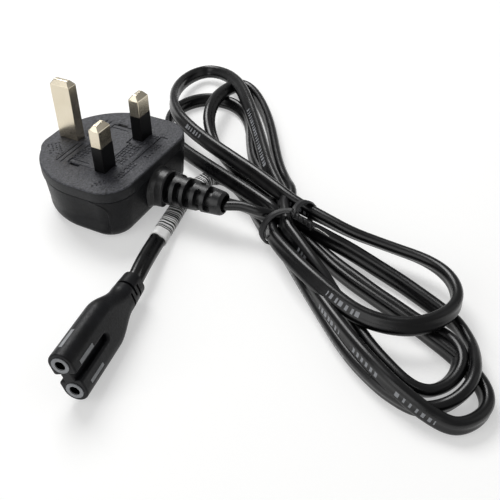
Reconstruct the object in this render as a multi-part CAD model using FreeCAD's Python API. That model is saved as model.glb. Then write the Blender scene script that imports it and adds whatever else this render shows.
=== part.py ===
"""Mains lead with a three-pin plug at one end and a figure-eight connector at the other.

The plug lies on its back with its pins up. Between the two ends a flat twin cord is
folded into a loose butterfly hank, held near its middle by a wire tie. Sizes are in
millimetres. The origin is the middle of the plug's back, on the surface that the lead
lies on: X runs from the line pin to the neutral pin, Y from the cord to the earth pin,
and Z up along the pins.
"""
import FreeCAD, Part
import math
import os
from FreeCAD import Matrix, Placement, Vector

# Plug body
BODY_DEPTH = 20.0          # back to pin face
BODY_HALF_WIDTH = 24.4
BODY_CORD_EDGE = 24.2      # from the origin to the edge that the cord leaves
BODY_EARTH_EDGE = 18.8     # from the origin to the edge behind the earth pin
SHOULDER_Y = -1.8          # where the straight sides turn in
NOSE_HALF_WIDTH = 9.5      # where the slanting sides meet the earth edge
CORD_CORNER_RADIUS = 11.0
SHOULDER_RADIUS = 16.0
NOSE_RADIUS = 9.0
FACE_THICKNESS = 4.0       # the hard face, seen as a band round the rim
FACE_EDGE_RADIUS = 0.8
BACK_INSET = 2.4           # how far the sides draw in at the back
BACK_EDGE_RADIUS = 2.6
GRIP_DEPTH = 1.6           # finger recess under the rim
GRIP_END_Y = -18.0
GRIP_END_RADIUS = 7.0
SURFACE_GROOVE_WIDTH = 0.4
SURFACE_GROOVE_DEPTH = 0.3

# Pins, to the common three-pin standard
PIN_PITCH = 22.23
LINE_PIN_WIDTH = 6.35
EARTH_PIN_WIDTH = 7.95
PIN_THICKNESS = 3.97
LINE_PIN_REACH = 17.7
EARTH_PIN_REACH = 22.73
PIN_TIP_HEIGHT = 2.3
PIN_TIP_INSET = 1.25
PIN_ROOT_LENGTH = 10.5     # inside the plug
PIN_ROOT_INSET = 0.5       # the root is slimmer than the pin by this much on each side
SLEEVE_REACH = 9.2
SLEEVE_SEAT = 1.2          # how far a sleeve goes below the face

# Fuse, its carrier and its clips
FUSE_DIAMETER = 6.35
FUSE_LENGTH = 25.4
FUSE_CAP_LENGTH = 5.6
FUSE_CAP_WALL = 0.25
FUSE_Y = -3.2
FUSE_DEPTH = 7.2           # pin face to the fuse's axis
CARRIER_HALF_LENGTH = 13.4
CARRIER_CORD_EDGE = -8.5
CARRIER_EARTH_EDGE = 2.4
CARRIER_THICKNESS = 3.0
CARRIER_GAP = 0.3
CARRIER_EDGE_BEVEL = 0.25
TONGUE_HALF_WIDTH = 5.2    # the carrier's tongue, between the two lower pins
TONGUE_LENGTH = 1.4
FINGER_WIDTH = 5.0         # the carrier's two fingers, beside the middle of the fuse
FINGER_THICKNESS = 0.9
FINGER_GAP = 0.08
CARRIER_TRAVEL = 16.0
PRY_SLOT_WIDTH = 1.1
PRY_SLOT_LENGTH = 3.8
PRY_SLOT_DEPTH = 1.6
CLIP_WIDTH = 4.6
CLIP_THICKNESS = 0.5
CLIP_GAP = 0.06            # between a fuse cap and a clip's wall
CLIP_WALL_ABOVE_AXIS = 1.8
STRAP_WIDTH = 3.0          # from the line fuse clip to the line pin

# The hard block under the face, which carries the pins and the clips
BLOCK_HALF_WIDTH = 15.2
BLOCK_CORD_EDGE = -15.2
BLOCK_EARTH_EDGE = 3.2
BLOCK_NOSE_HALF_WIDTH = 4.4
BLOCK_NOSE_EDGE = 15.0
BLOCK_DEPTH = 8.6
BLOCK_CORNER_RADIUS = 2.0

# Cord
CORD_WIDTH = 5.6
CORD_THICKNESS = 3.4

# Strain relief at the plug
RELIEF_DEPTH = 9.6         # pin face to the relief's axis
RELIEF_LENGTH = 26.8       # outside the plug
RELIEF_COLLAR_LENGTH = 5.0
RELIEF_COLLAR_RADIUS = 5.5
RELIEF_WAIST_RADIUS = 5.1
RELIEF_END_RADIUS = 3.9
RELIEF_END_ROUND = 1.1
RELIEF_MOUTH_DEPTH = 1.6   # the cord leaves through a mouth a little wider than itself
RELIEF_MOUTH_GAP = 0.35
RELIEF_ROOT_RADIUS = 4.4
RELIEF_ROOT_LENGTH = 5.0   # held inside the plug
RELIEF_SLOT_COUNT = 5
RELIEF_SLOT_START = 6.7    # from the plug's wall to the middle of the first slot
RELIEF_SLOT_PITCH = 4.0
RELIEF_SLOT_WIDTH = 1.9
RELIEF_SLOT_CORE = 3.0
RELIEF_BRIDGE_HALF_ANGLE = 17.0
GATE_HALF_WIDTH = 5.6      # the square lip under the relief's root
GATE_LENGTH = 3.7
GATE_DEPTH = 14.4          # pin face to the lip's underside

# Figure-eight connector, in its own frame: X from its face to the cord, Y across the bores
BORE_SPACING = 8.6
LOBE_DIAMETER = 7.3
NOSE_EDGE_RADIUS = 0.5
WAIST_GROOVE_WIDTH = 2.3   # the groove along each flat side, between the lobes
WAIST_GROOVE_DEPTH = 1.9
WAIST_LIP_RADIUS = 0.8
GROOVE_LENGTH = 16.5
SHOULDER_LENGTH = 20.5
NECK_START = 33.0
CONNECTOR_LENGTH = 41.2
NECK_WIDTH = 9.2
NECK_HEIGHT = 7.0
NECK_END_WIDTH = 8.2
NECK_END_HEIGHT = 6.2
NECK_GROOVE_COUNT = 3      # half grooves on alternate narrow sides
NECK_GROOVE_START = 33.2
NECK_GROOVE_PITCH = 2.2
NECK_GROOVE_WIDTH = 0.9
NECK_GROOVE_DEPTH = 0.9
NECK_GROOVE_OVERLAP = 1.2  # how far a half groove reaches past the middle
INSERT_TUBE_DIAMETER = 5.0
INSERT_LENGTH = 17.0
INSERT_PROUD = 0.25
INSERT_BRIDGE_THICKNESS = 1.6
INSERT_BRIDGE_START = 3.0
ENTRY_DIAMETER = 3.0
ENTRY_DEPTH = 1.6
CONTACT_INNER_DIAMETER = 2.46
CONTACT_OUTER_DIAMETER = 3.3
CONTACT_LENGTH = 11.0
WINDOW_START = 3.0
WINDOW_LENGTH = 7.0
WINDOW_WIDTH = 1.05
WINDOW_ANGLES = (180.0, 297.5, 90.0)
CONNECTOR_FACE = Vector(-82.4, -48.9, 9.5)
CONNECTOR_HEADING = 10.45
CONNECTOR_TILT = -4.6
CONNECTOR_ROLL = -110.6

# Hank, tie and label
HANK_LAYER = 6.2           # one cord standing on its edge
HANK_EDGE_RADIUS = 1.8
TIE_PLACE = Vector(7.5, -67.5, 0)
TIE_HEADING = 69.0         # direction of the bundle at the tie
BUNDLE_WIDTH = 17.0
BUNDLE_HEIGHT = 11.4
BUNDLE_RADIUS = 4.0
BUNDLE_STRAIGHT = 9.0
FAR_SPREAD = (Vector(30.0, -43.0, 0), 42.0, 25.0, 9.0)      # place, heading, width, height
NEAR_SPREAD = (Vector(-6.5, -93.0, 0), 66.0, 29.0, 10.5)
FAR_BENDS = ((7.5, -67.5, 8.0), (74.5, -17.0, 13.5), (83.0, 5.5, 14.0), (57.0, -8.5, 13.5))
NEAR_BENDS = ((7.5, -67.5, 8.0), (-32.0, -112.0, 13.5), (-37.5, -135.5, 13.5), (1.5, -117.0, 13.5))
TIE_WIDTH = 3.0
TIE_THICKNESS = 1.0
TIE_TAIL_DIAMETER = 2.4
TIE_TAIL_REACH = 15.0
LABEL_THICKNESS = 0.3
LABEL_BENDS = (3, 4)       # the two bends of the connector's stretch that the label covers
LABEL_BEFORE_BEND = 11.0
LABEL_AFTER_BEND = 6.5

# Routes of the two free stretches: points chosen along the middle of the cord
PLUG_LEAD_LENGTH = 6.0     # first run, in line with the relief
PLUG_ROUTE_END = Vector(1.0, -61.9, 9.9)
CONNECTOR_ROUTE = (
    Vector(-34.17, -40.01, 5.55),
    Vector(-22.0, -37.0, 3.1),
    Vector(-4.0, -31.8, 2.0),
    Vector(13.5, -29.2, 2.0),
    Vector(26.0, -31.0, 2.0),
)

FACE_Z = BODY_DEPTH
RIM_Z = BODY_DEPTH - FACE_THICKNESS
FUSE_Z = FACE_Z - FUSE_DEPTH
RELIEF_HEIGHT = FACE_Z - RELIEF_DEPTH
RELIEF_END = Vector(0, -BODY_CORD_EDGE - RELIEF_LENGTH, RELIEF_HEIGHT)
PLUG_ROUTE = (RELIEF_END + Vector(0, RELIEF_MOUTH_DEPTH, 0), RELIEF_END - Vector(0, PLUG_LEAD_LENGTH, 0), PLUG_ROUTE_END)
CLIP_INNER = FUSE_DIAMETER / 2 + CLIP_GAP
CLIP_OUTER = CLIP_INNER + CLIP_THICKNESS
CAP_MIDDLE = FUSE_LENGTH / 2 - FUSE_CAP_LENGTH / 2
FINGER_INNER = FUSE_DIAMETER / 2 + FINGER_GAP
FINGER_OUTER = FINGER_INNER + FINGER_THICKNESS
TONGUE_EDGE = CARRIER_CORD_EDGE - TONGUE_LENGTH
PIN_PLACES = {
    "line": Vector(-PIN_PITCH / 2, -PIN_PITCH / 2, FACE_Z),
    "neutral": Vector(PIN_PITCH / 2, -PIN_PITCH / 2, FACE_Z),
    "earth": Vector(0, PIN_PITCH / 2, FACE_Z),
}
SHIELD = (
    (-BODY_HALF_WIDTH, -BODY_CORD_EDGE, CORD_CORNER_RADIUS),
    (BODY_HALF_WIDTH, -BODY_CORD_EDGE, CORD_CORNER_RADIUS),
    (BODY_HALF_WIDTH, SHOULDER_Y, SHOULDER_RADIUS),
    (NOSE_HALF_WIDTH, BODY_EARTH_EDGE, NOSE_RADIUS),
    (-NOSE_HALF_WIDTH, BODY_EARTH_EDGE, NOSE_RADIUS),
    (-BODY_HALF_WIDTH, SHOULDER_Y, SHOULDER_RADIUS),
)


# General shapes

def save(name, shape):
    """Write one sub-part to its own file."""
    shape.exportStep(os.path.join("parts", name + ".step"))


def box(x0, x1, y0, y1, z0, z1):
    """Block between two corners."""
    return Part.makeBox(x1 - x0, y1 - y0, z1 - z0, Vector(x0, y0, z0))


def join(shapes):
    """One solid from pieces that touch or overlap."""
    first, *rest = shapes
    return first.fuse(rest).removeSplitter()


def turned(shape, origin, x_axis, y_axis, z_axis):
    """Put a shape drawn about the origin at a place, along three given directions."""
    placed = shape.copy()
    placed.Placement = Placement(Matrix(
        x_axis.x, y_axis.x, z_axis.x, origin.x,
        x_axis.y, y_axis.y, z_axis.y, origin.y,
        x_axis.z, y_axis.z, z_axis.z, origin.z,
        0, 0, 0, 1)).multiply(placed.Placement)
    return placed


def arc_edge(centre, radius, start, end):
    """Level arc from one angle to another, in radians."""
    def at(angle):
        return centre + Vector(math.cos(angle), math.sin(angle), 0) * radius
    return Part.Arc(at(start), at((start + end) / 2), at(end)).toShape()


def inset_corners(corners, inset):
    """Move every side of a convex outline inwards; its corner radii shrink with it."""
    moved = []
    count = len(corners)
    for i, (x, y, radius) in enumerate(corners):
        point = Vector(x, y, 0)
        u = (point - Vector(*corners[i - 1][:2], 0)).normalize()
        v = (Vector(*corners[(i + 1) % count][:2], 0) - point).normalize()
        inward = (Vector(-u.y, u.x, 0) + Vector(-v.y, v.x, 0)).normalize()
        point = point + inward * (inset / math.cos(u.getAngle(v) / 2))
        moved.append((point.x, point.y, radius - inset))
    return tuple(moved)


def rounded_wire(corners, z):
    """Closed level wire through corners given anticlockwise as (x, y, radius)."""
    bends = []
    count = len(corners)
    for i, (x, y, radius) in enumerate(corners):
        point = Vector(x, y, z)
        u = (point - Vector(*corners[i - 1][:2], z)).normalize()
        v = (Vector(*corners[(i + 1) % count][:2], z) - point).normalize()
        turn = u.getAngle(v)
        tangent = radius * math.tan(turn / 2)
        centre = point - u * tangent + Vector(-u.y, u.x, 0) * radius
        begin = math.atan2(-u.x, u.y)
        bends.append((point - u * tangent, point + v * tangent, arc_edge(centre, radius, begin, begin + turn)))
    edges = []
    for i, (_, leave, arc) in enumerate(bends):
        enter_next = bends[(i + 1) % count][0]
        edges.append(arc)
        if (enter_next - leave).Length > 1e-6:
            edges.append(Part.makeLine(leave, enter_next))
    return Part.Wire(edges)


def rectangle(x0, x1, y0, y1, radius):
    """Corners of a rounded rectangle, anticlockwise."""
    return ((x0, y0, radius), (x1, y0, radius), (x1, y1, radius), (x0, y1, radius))


def prism(corners, z0, z1):
    """Upright block with a rounded outline."""
    return Part.Face(rounded_wire(corners, z0)).extrude(Vector(0, 0, z1 - z0))


def belt_wire(circles):
    """Closed wire round circles given anticlockwise as (x, y, radius), like a belt."""
    count = len(circles)
    normals = []
    for i, (x, y, radius) in enumerate(circles):
        nx, ny, other = circles[(i + 1) % count]
        run = Vector(nx - x, ny - y, 0)
        lean = (radius - other) / run.Length
        run.normalize()
        normals.append(run * lean + Vector(run.y, -run.x, 0) * math.sqrt(1 - lean * lean))
    edges = []
    for i, (x, y, radius) in enumerate(circles):
        start = math.atan2(normals[i - 1].y, normals[i - 1].x)
        end = math.atan2(normals[i].y, normals[i].x)
        end += 2 * math.pi if end < start else 0
        edges.append(arc_edge(Vector(x, y, 0), radius, start, end))
        nx, ny, other = circles[(i + 1) % count]
        edges.append(Part.makeLine(Vector(x, y, 0) + normals[i] * radius, Vector(nx, ny, 0) + normals[i] * other))
    return Part.Wire(edges)


def level_edges(shape, z):
    """Edges that lie wholly at one height."""
    return [e for e in shape.Edges if abs(e.BoundBox.ZMin - z) < 1e-4 and abs(e.BoundBox.ZMax - z) < 1e-4]


# Plug body

def lower_shell(inset):
    """Body below the rim, whose sides draw in to the back."""
    top = rounded_wire(inset_corners(SHIELD, inset), RIM_Z)
    back = rounded_wire(inset_corners(SHIELD, inset + BACK_INSET), 0)
    return Part.makeLoft([top, back], True, True)


def grip_zone():
    """Everything between the rim and the back that the finger recess may reach."""
    reach = BODY_HALF_WIDTH + 5
    crown_y = GRIP_END_Y + GRIP_END_RADIUS
    side = (
        (GRIP_END_Y, -1, 0),
        (BODY_EARTH_EDGE + 5, -1, 0),
        (BODY_EARTH_EDGE + 5, RIM_Z, 0),
    )
    corner_z = RIM_Z - GRIP_END_RADIUS
    slope = GRIP_END_RADIUS * math.sqrt(0.5)
    points = [Vector(-reach, y, z) for y, z, _ in side]
    crown = Vector(-reach, crown_y, RIM_Z)
    low = Vector(-reach, GRIP_END_Y, corner_z)
    middle = Vector(-reach, crown_y - slope, corner_z + slope)
    outline = Part.Wire([
        Part.makeLine(points[0], points[1]),
        Part.makeLine(points[1], points[2]),
        Part.makeLine(points[2], crown),
        Part.Arc(crown, middle, low).toShape(),
        Part.makeLine(low, points[0]),
    ])
    return Part.Face(outline).extrude(Vector(2 * reach, 0, 0))


def block_solid():
    """Hard block under the face, with a nose round the earth pin's root."""
    wide = rectangle(-BLOCK_HALF_WIDTH, BLOCK_HALF_WIDTH, BLOCK_CORD_EDGE, BLOCK_EARTH_EDGE, BLOCK_CORNER_RADIUS)
    nose = rectangle(-BLOCK_NOSE_HALF_WIDTH, BLOCK_NOSE_HALF_WIDTH, 0, BLOCK_NOSE_EDGE, BLOCK_CORNER_RADIUS)
    bottom = RIM_Z - BLOCK_DEPTH
    return join([prism(wide, bottom, RIM_Z), prism(nose, bottom, RIM_Z)])


def make_plug_cover():
    """Soft moulding behind the face, with its finger recess and the lip under the relief."""
    body = lower_shell(0)
    body = body.makeFillet(BACK_EDGE_RADIUS, level_edges(body, 0))
    body = body.cut(grip_zone().cut(lower_shell(GRIP_DEPTH)))
    front = -BODY_CORD_EDGE - GATE_LENGTH
    gate = box(-GATE_HALF_WIDTH, GATE_HALF_WIDTH, front, 4 - BODY_CORD_EDGE, FACE_Z - GATE_DEPTH, RELIEF_HEIGHT)
    gate = gate.makeFillet(0.6, [e for e in gate.Edges if e.BoundBox.YMax < front + 0.1])
    return join([body, gate]).cut([block_solid(), relief_blank()])


def carrier_plate(gap):
    """The fuse carrier's plate and tongue, or with a gap the pocket that takes them."""
    low = FACE_Z - CARRIER_THICKNESS
    plate = box(-CARRIER_HALF_LENGTH - gap, CARRIER_HALF_LENGTH + gap,
                CARRIER_CORD_EDGE - gap, CARRIER_EARTH_EDGE + gap, low, FACE_Z)
    tongue = box(-TONGUE_HALF_WIDTH - gap, TONGUE_HALF_WIDTH + gap, TONGUE_EDGE - gap, FUSE_Y, low, FACE_Z)
    return join([plate, tongue])


def fuse_well():
    """Room under the carrier for the fuse, its clips and the carrier's fingers."""
    end = FUSE_LENGTH / 2 + CARRIER_GAP
    top = FACE_Z - CARRIER_THICKNESS / 2
    well = box(-end, end, FUSE_Y - CLIP_OUTER, FUSE_Y + CLIP_OUTER, FUSE_Z - CLIP_OUTER, top)
    side = FINGER_OUTER + CARRIER_GAP
    half = FINGER_WIDTH / 2 + CARRIER_GAP
    return well.fuse(box(-half, half, FUSE_Y - side, FUSE_Y + side, FUSE_Z - CLIP_OUTER, top))


def pry_slots():
    """Slot at each end of the carrier, for the blade that lifts it."""
    slots = []
    for side in (-1, 1):
        inner = side * (CARRIER_HALF_LENGTH - 0.1)
        outer = side * (CARRIER_HALF_LENGTH + CARRIER_GAP + PRY_SLOT_WIDTH)
        slots.append(box(min(inner, outer), max(inner, outer), FUSE_Y + 2.5 - PRY_SLOT_LENGTH / 2,
                         FUSE_Y + 2.5 + PRY_SLOT_LENGTH / 2, FACE_Z - PRY_SLOT_DEPTH, FACE_Z + 1))
    return slots


def surface_groove(x0, y0, x1, y1):
    """Fine line moulded into the face, along X or Y."""
    half = SURFACE_GROOVE_WIDTH / 2
    return box(min(x0, x1) - half, max(x0, x1) + half, min(y0, y1) - half, max(y0, y1) + half,
               FACE_Z - SURFACE_GROOVE_DEPTH, FACE_Z + 1)


def face_grooves():
    """Lines of the panels that the face is divided into."""
    earth_panel = CARRIER_EARTH_EDGE + 2.3
    marking_panel = -17.4
    lines = [(side * 2.6, earth_panel + step, side * 14.6, earth_panel + step)
             for side in (-1, 1) for step in (0, 1.8)]
    lines.append((-12.4, marking_panel, 13.6, marking_panel))
    lines.append((13.6, marking_panel, 13.6, marking_panel - 2.8))
    lines.append((TONGUE_HALF_WIDTH - 0.6, TONGUE_EDGE - 0.4, TONGUE_HALF_WIDTH - 0.6, TONGUE_EDGE - 5))
    return [surface_groove(*line) for line in lines]


def pin_root(name):
    """Part of a pin inside the plug."""
    place = PIN_PLACES[name]
    x = pin_width(name)[0] / 2 - PIN_ROOT_INSET
    y = pin_width(name)[1] / 2 - PIN_ROOT_INSET
    return box(place.x - x, place.x + x, place.y - y, place.y + y, FACE_Z - PIN_ROOT_LENGTH, FACE_Z)


def sleeve_outer(name):
    """Outer form of an insulating sleeve, as wide as its pin."""
    place = PIN_PLACES[name]
    x, y = (size / 2 for size in pin_width(name))
    return box(place.x - x, place.x + x, place.y - y, place.y + y, FACE_Z - SLEEVE_SEAT, FACE_Z + SLEEVE_REACH)


def make_face_plate():
    """Hard face of the plug with its inner block, fuse pocket and pin seats."""
    plate = prism(SHIELD, RIM_Z, FACE_Z)
    plate = plate.makeFillet(FACE_EDGE_RADIUS, level_edges(plate, FACE_Z))
    cuts = [carrier_plate(CARRIER_GAP), fuse_well(), clip_strap(), *pry_slots(), *face_grooves()]
    cuts += [pin_root(name) for name in PIN_PLACES]
    cuts += [sleeve_outer(name) for name in ("line", "neutral")]
    return join([plate, block_solid()]).cut(cuts)


# Pins

def pin_width(name):
    """Size of a pin across X and Y."""
    if name == "earth":
        return PIN_THICKNESS, EARTH_PIN_WIDTH
    return LINE_PIN_WIDTH, PIN_THICKNESS


def tip_wire(place, x, y, z):
    """Rectangle round a pin's axis at one height."""
    points = [Vector(place.x + sx * x, place.y + sy * y, z) for sx, sy in ((-1, -1), (1, -1), (1, 1), (-1, 1))]
    return Part.makePolygon(points + points[:1])


def make_pin(name):
    """Solid pin with a bevelled tip; the line and neutral pins are slimmer where sleeved."""
    place = PIN_PLACES[name]
    x, y = (size / 2 for size in pin_width(name))
    sleeved = name != "earth"
    reach = LINE_PIN_REACH if sleeved else EARTH_PIN_REACH
    shoulder = FACE_Z + reach - PIN_TIP_HEIGHT
    bottom = FACE_Z + SLEEVE_REACH if sleeved else FACE_Z
    blade = box(place.x - x, place.x + x, place.y - y, place.y + y, bottom, shoulder)
    tip = Part.makeLoft([tip_wire(place, x, y, shoulder),
                         tip_wire(place, x - PIN_TIP_INSET, y - PIN_TIP_INSET, FACE_Z + reach)], True, True)
    pieces = [pin_root(name), blade, tip]
    if sleeved:
        slim = PIN_ROOT_INSET
        pieces.append(box(place.x - x + slim, place.x + x - slim, place.y - y + slim, place.y + y - slim,
                          FACE_Z - SLEEVE_SEAT, bottom))
    return join(pieces)


def make_sleeve(name):
    """Insulating sleeve round the lower half of a live pin."""
    return sleeve_outer(name).cut(make_pin(name))


# Fuse, carrier and clips

def make_fuse_carrier():
    """Plate that closes the fuse well, with two fingers that hold the fuse."""
    plate = carrier_plate(0)
    plate = plate.makeChamfer(CARRIER_EDGE_BEVEL, level_edges(plate, FACE_Z))
    low = FACE_Z - CARRIER_THICKNESS
    fingers = []
    for side in (-1, 1):
        near, far = side * FINGER_INNER, side * FINGER_OUTER
        fingers.append(box(-FINGER_WIDTH / 2, FINGER_WIDTH / 2, FUSE_Y + min(near, far), FUSE_Y + max(near, far),
                           FUSE_Z - CLIP_WALL_ABOVE_AXIS, low))
    saddle = box(-FINGER_WIDTH / 2, FINGER_WIDTH / 2, FUSE_Y - FINGER_OUTER, FUSE_Y + FINGER_OUTER, FUSE_Z, low)
    saddle = saddle.cut(Part.makeCylinder(FINGER_INNER, FINGER_WIDTH, Vector(-FINGER_WIDTH / 2, FUSE_Y, FUSE_Z),
                                          Vector(1, 0, 0)))
    grooves = [g for g in face_grooves() if g.BoundBox.YMin < CARRIER_EARTH_EDGE]
    end_line = CARRIER_HALF_LENGTH - 1.8
    grooves += [surface_groove(side * end_line, CARRIER_CORD_EDGE + 4, side * end_line, CARRIER_EARTH_EDGE)
                for side in (-1, 1)]
    return join([plate, saddle, *fingers]).cut(grooves)


def fuse_cylinder(x0, x1, radius):
    """Cylinder on the fuse's axis."""
    return Part.makeCylinder(radius, x1 - x0, Vector(x0, FUSE_Y, FUSE_Z), Vector(1, 0, 0))


def make_fuse_tube():
    """Ceramic tube of the fuse, reaching into both caps."""
    end = FUSE_LENGTH / 2 - FUSE_CAP_WALL
    return fuse_cylinder(-end, end, FUSE_DIAMETER / 2 - FUSE_CAP_WALL)


def make_fuse_cap(side):
    """Metal cap on one end of the fuse."""
    ends = sorted((side * (FUSE_LENGTH / 2 - FUSE_CAP_LENGTH), side * FUSE_LENGTH / 2))
    cap = fuse_cylinder(ends[0], ends[1], FUSE_DIAMETER / 2)
    rim = [e for e in cap.Edges if e.BoundBox.XLength < 1e-6 and abs(e.BoundBox.XMin - side * FUSE_LENGTH / 2) < 1e-6]
    return cap.makeFillet(0.4, rim).cut(make_fuse_tube())


def clip_strap():
    """Strap from the line fuse clip to the line pin."""
    pin_side = PIN_PLACES["line"].y + PIN_THICKNESS / 2 - PIN_ROOT_INSET
    low = FUSE_Z - CLIP_OUTER
    return box(-CAP_MIDDLE - STRAP_WIDTH / 2, -CAP_MIDDLE + STRAP_WIDTH / 2, pin_side, FUSE_Y - CLIP_INNER, low, low + 3)


def make_fuse_clip(side):
    """Spring clip, open upwards, that one end of the fuse pushes into."""
    x0, x1 = side * CAP_MIDDLE - CLIP_WIDTH / 2, side * CAP_MIDDLE + CLIP_WIDTH / 2
    top = FUSE_Z + CLIP_WALL_ABOVE_AXIS
    clip = box(x0, x1, FUSE_Y - CLIP_OUTER, FUSE_Y + CLIP_OUTER, FUSE_Z - CLIP_OUTER, top)
    clip = clip.cut(box(x0, x1, FUSE_Y - CLIP_INNER, FUSE_Y + CLIP_INNER, FUSE_Z - CLIP_INNER, top))
    return join([clip, clip_strap()]) if side < 0 else clip


# Strain relief at the plug

def along_relief(profile):
    """Revolve (distance from the plug's wall, radius) pairs about the relief's axis."""
    points = [Vector(0, -BODY_CORD_EDGE - along, RELIEF_HEIGHT + radius) for along, radius in profile]
    first, last = points[0], points[-1]
    points += [Vector(0, last.y, RELIEF_HEIGHT), Vector(0, first.y, RELIEF_HEIGHT), first]
    face = Part.Face(Part.makePolygon(points))
    return face.revolve(Vector(0, 0, RELIEF_HEIGHT), Vector(0, 1, 0), 360)


def relief_blank():
    """Strain relief before its slots are cut: root, collar and tapering tail."""
    end = RELIEF_LENGTH
    collar = RELIEF_COLLAR_LENGTH
    step = 0.5
    profile = [
        (-RELIEF_ROOT_LENGTH, RELIEF_ROOT_RADIUS), (0, RELIEF_ROOT_RADIUS),
        (0, RELIEF_COLLAR_RADIUS), (collar - step, RELIEF_COLLAR_RADIUS), (collar, RELIEF_WAIST_RADIUS),
        (end, RELIEF_END_RADIUS),
    ]
    return along_relief(profile)


def slot_cutter(middle, bridges_at_sides):
    """Ring round the relief, open on two opposite sides, whose ends are round."""
    half = RELIEF_SLOT_WIDTH / 2
    reach = RELIEF_COLLAR_RADIUS + 1
    centre = Vector(0, -BODY_CORD_EDGE - middle, RELIEF_HEIGHT)
    start = centre + Vector(0, half, 0)
    along = Vector(0, -1, 0)
    ring = Part.makeCylinder(reach, RELIEF_SLOT_WIDTH, start, along)
    ring = ring.cut(Part.makeCylinder(RELIEF_SLOT_CORE, RELIEF_SLOT_WIDTH, start, along))
    angle = math.radians(RELIEF_BRIDGE_HALF_ANGLE)
    cut_back = math.asin(half / RELIEF_WAIST_RADIUS)
    ends = []
    bridges = []
    for quarter in range(4):
        facing = quarter * math.pi / 2
        sideways = quarter % 2 == 0
        if sideways != bridges_at_sides:
            continue
        bridges.append(sector(centre, facing, angle + cut_back, 2 * reach))
        for turn in (angle + cut_back, -angle - cut_back):
            direction = Vector(math.cos(facing + turn), 0, math.sin(facing + turn))
            ends.append(Part.makeCylinder(half, reach, centre + direction * RELIEF_SLOT_CORE * 0.9, direction))
    slot = ring.cut(bridges)
    return slot.fuse([end.common(ring) for end in ends])


def sector(centre, facing, half_angle, reach):
    """Wedge of a slot's ring, centred on one direction across the relief."""
    start = centre + Vector(0, RELIEF_SLOT_WIDTH / 2, 0)
    rim = [start + Vector(math.cos(facing + turn), 0, math.sin(facing + turn)) * reach
           for turn in (-half_angle, half_angle)]
    return Part.Face(Part.makePolygon([start, *rim, start])).extrude(Vector(0, -RELIEF_SLOT_WIDTH, 0))


def make_relief():
    """Tapering strain relief whose slots alternate between top and bottom and the sides."""
    cutters = [slot_cutter(RELIEF_SLOT_START + i * RELIEF_SLOT_PITCH, i % 2 == 0) for i in range(RELIEF_SLOT_COUNT)]
    blank = relief_blank()
    end_rim = [e for e in blank.Edges if abs(e.BoundBox.YMin - RELIEF_END.y) < 1e-4 and e.BoundBox.YLength < 1e-4]
    blank = blank.makeFillet(RELIEF_END_ROUND, end_rim)
    gap = 2 * RELIEF_MOUTH_GAP
    mouth = cord_block(RELIEF_END, Vector(0, RELIEF_MOUTH_DEPTH, 0), CORD_WIDTH + gap, CORD_THICKNESS + gap)
    return blank.cut([*cutters, mouth])


def cord_block(start, run, width, height):
    """Straight block with the cord's section, or a little larger, wide way level."""
    return Part.Face(flat_section(start, run, width, height)).extrude(run)


# Figure-eight connector

def connector_axes():
    """Directions of the connector: to the cord, across its bores, and square to both."""
    heading, tilt, roll = (math.radians(a) for a in (CONNECTOR_HEADING, CONNECTOR_TILT, CONNECTOR_ROLL))
    along = Vector(math.cos(heading) * math.cos(tilt), math.sin(heading) * math.cos(tilt), math.sin(tilt))
    level = Vector(0, 0, 1).cross(along).normalize()
    upright = along.cross(level)
    across = level * math.cos(roll) + upright * math.sin(roll)
    return along, across, along.cross(across)


def in_place(shape):
    """Move a shape from the connector's own frame to where the connector lies."""
    return turned(shape, CONNECTOR_FACE, *connector_axes())


def stadium(x, width, height):
    """Flat-sided oval across the connector's axis."""
    r, half = height / 2, (width - height) / 2
    return Part.Wire([
        Part.makeLine(Vector(x, -half, r), Vector(x, half, r)),
        Part.Arc(Vector(x, half, r), Vector(x, half + r, 0), Vector(x, half, -r)).toShape(),
        Part.makeLine(Vector(x, half, -r), Vector(x, -half, -r)),
        Part.Arc(Vector(x, -half, -r), Vector(x, -half - r, 0), Vector(x, -half, r)).toShape(),
    ])


def stadium_prism(x0, x1, width, height):
    """Straight block with a flat-sided oval section."""
    return Part.Face(stadium(x0, width, height)).extrude(Vector(x1 - x0, 0, 0))


def bore_cylinder(side, x0, x1, diameter):
    """Cylinder on one bore's axis."""
    return Part.makeCylinder(diameter / 2, x1 - x0, Vector(x0, side * BORE_SPACING / 2, 0), Vector(1, 0, 0))


def waist_groove(side):
    """Groove along one flat side of the nose, open at the face and round at its other end."""
    half = WAIST_GROOVE_WIDTH / 2
    bottom = LOBE_DIAMETER / 2 - WAIST_GROOVE_DEPTH
    low, high = sorted((side * bottom, side * LOBE_DIAMETER))
    straight = box(-1, GROOVE_LENGTH - half, -half, half, low, high)
    end = Part.makeCylinder(half, high - low, Vector(GROOVE_LENGTH - half, 0, low), Vector(0, 0, 1))
    return join([straight, end])


def nose():
    """Mating end: a flat-sided oval with a groove along each flat side and rounded lips."""
    block = stadium_prism(0, SHOULDER_LENGTH, BORE_SPACING + LOBE_DIAMETER, LOBE_DIAMETER)
    block = block.cut([waist_groove(side) for side in (-1, 1)])
    lips = []
    for edge in block.Edges:
        bounds = edge.BoundBox
        on_flat = abs(abs(bounds.ZMin) - LOBE_DIAMETER / 2) < 1e-4 and bounds.ZLength < 1e-4
        if on_flat and max(abs(bounds.YMin), abs(bounds.YMax)) < WAIST_GROOVE_WIDTH / 2 + 1e-4:
            lips.append(edge)
    block = block.makeFillet(WAIST_LIP_RADIUS, lips)
    front = [e for e in block.Edges if abs(e.BoundBox.XMin) < 1e-4 and e.BoundBox.XLength < 1e-4]
    return block.makeFillet(NOSE_EDGE_RADIUS, front)


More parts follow.
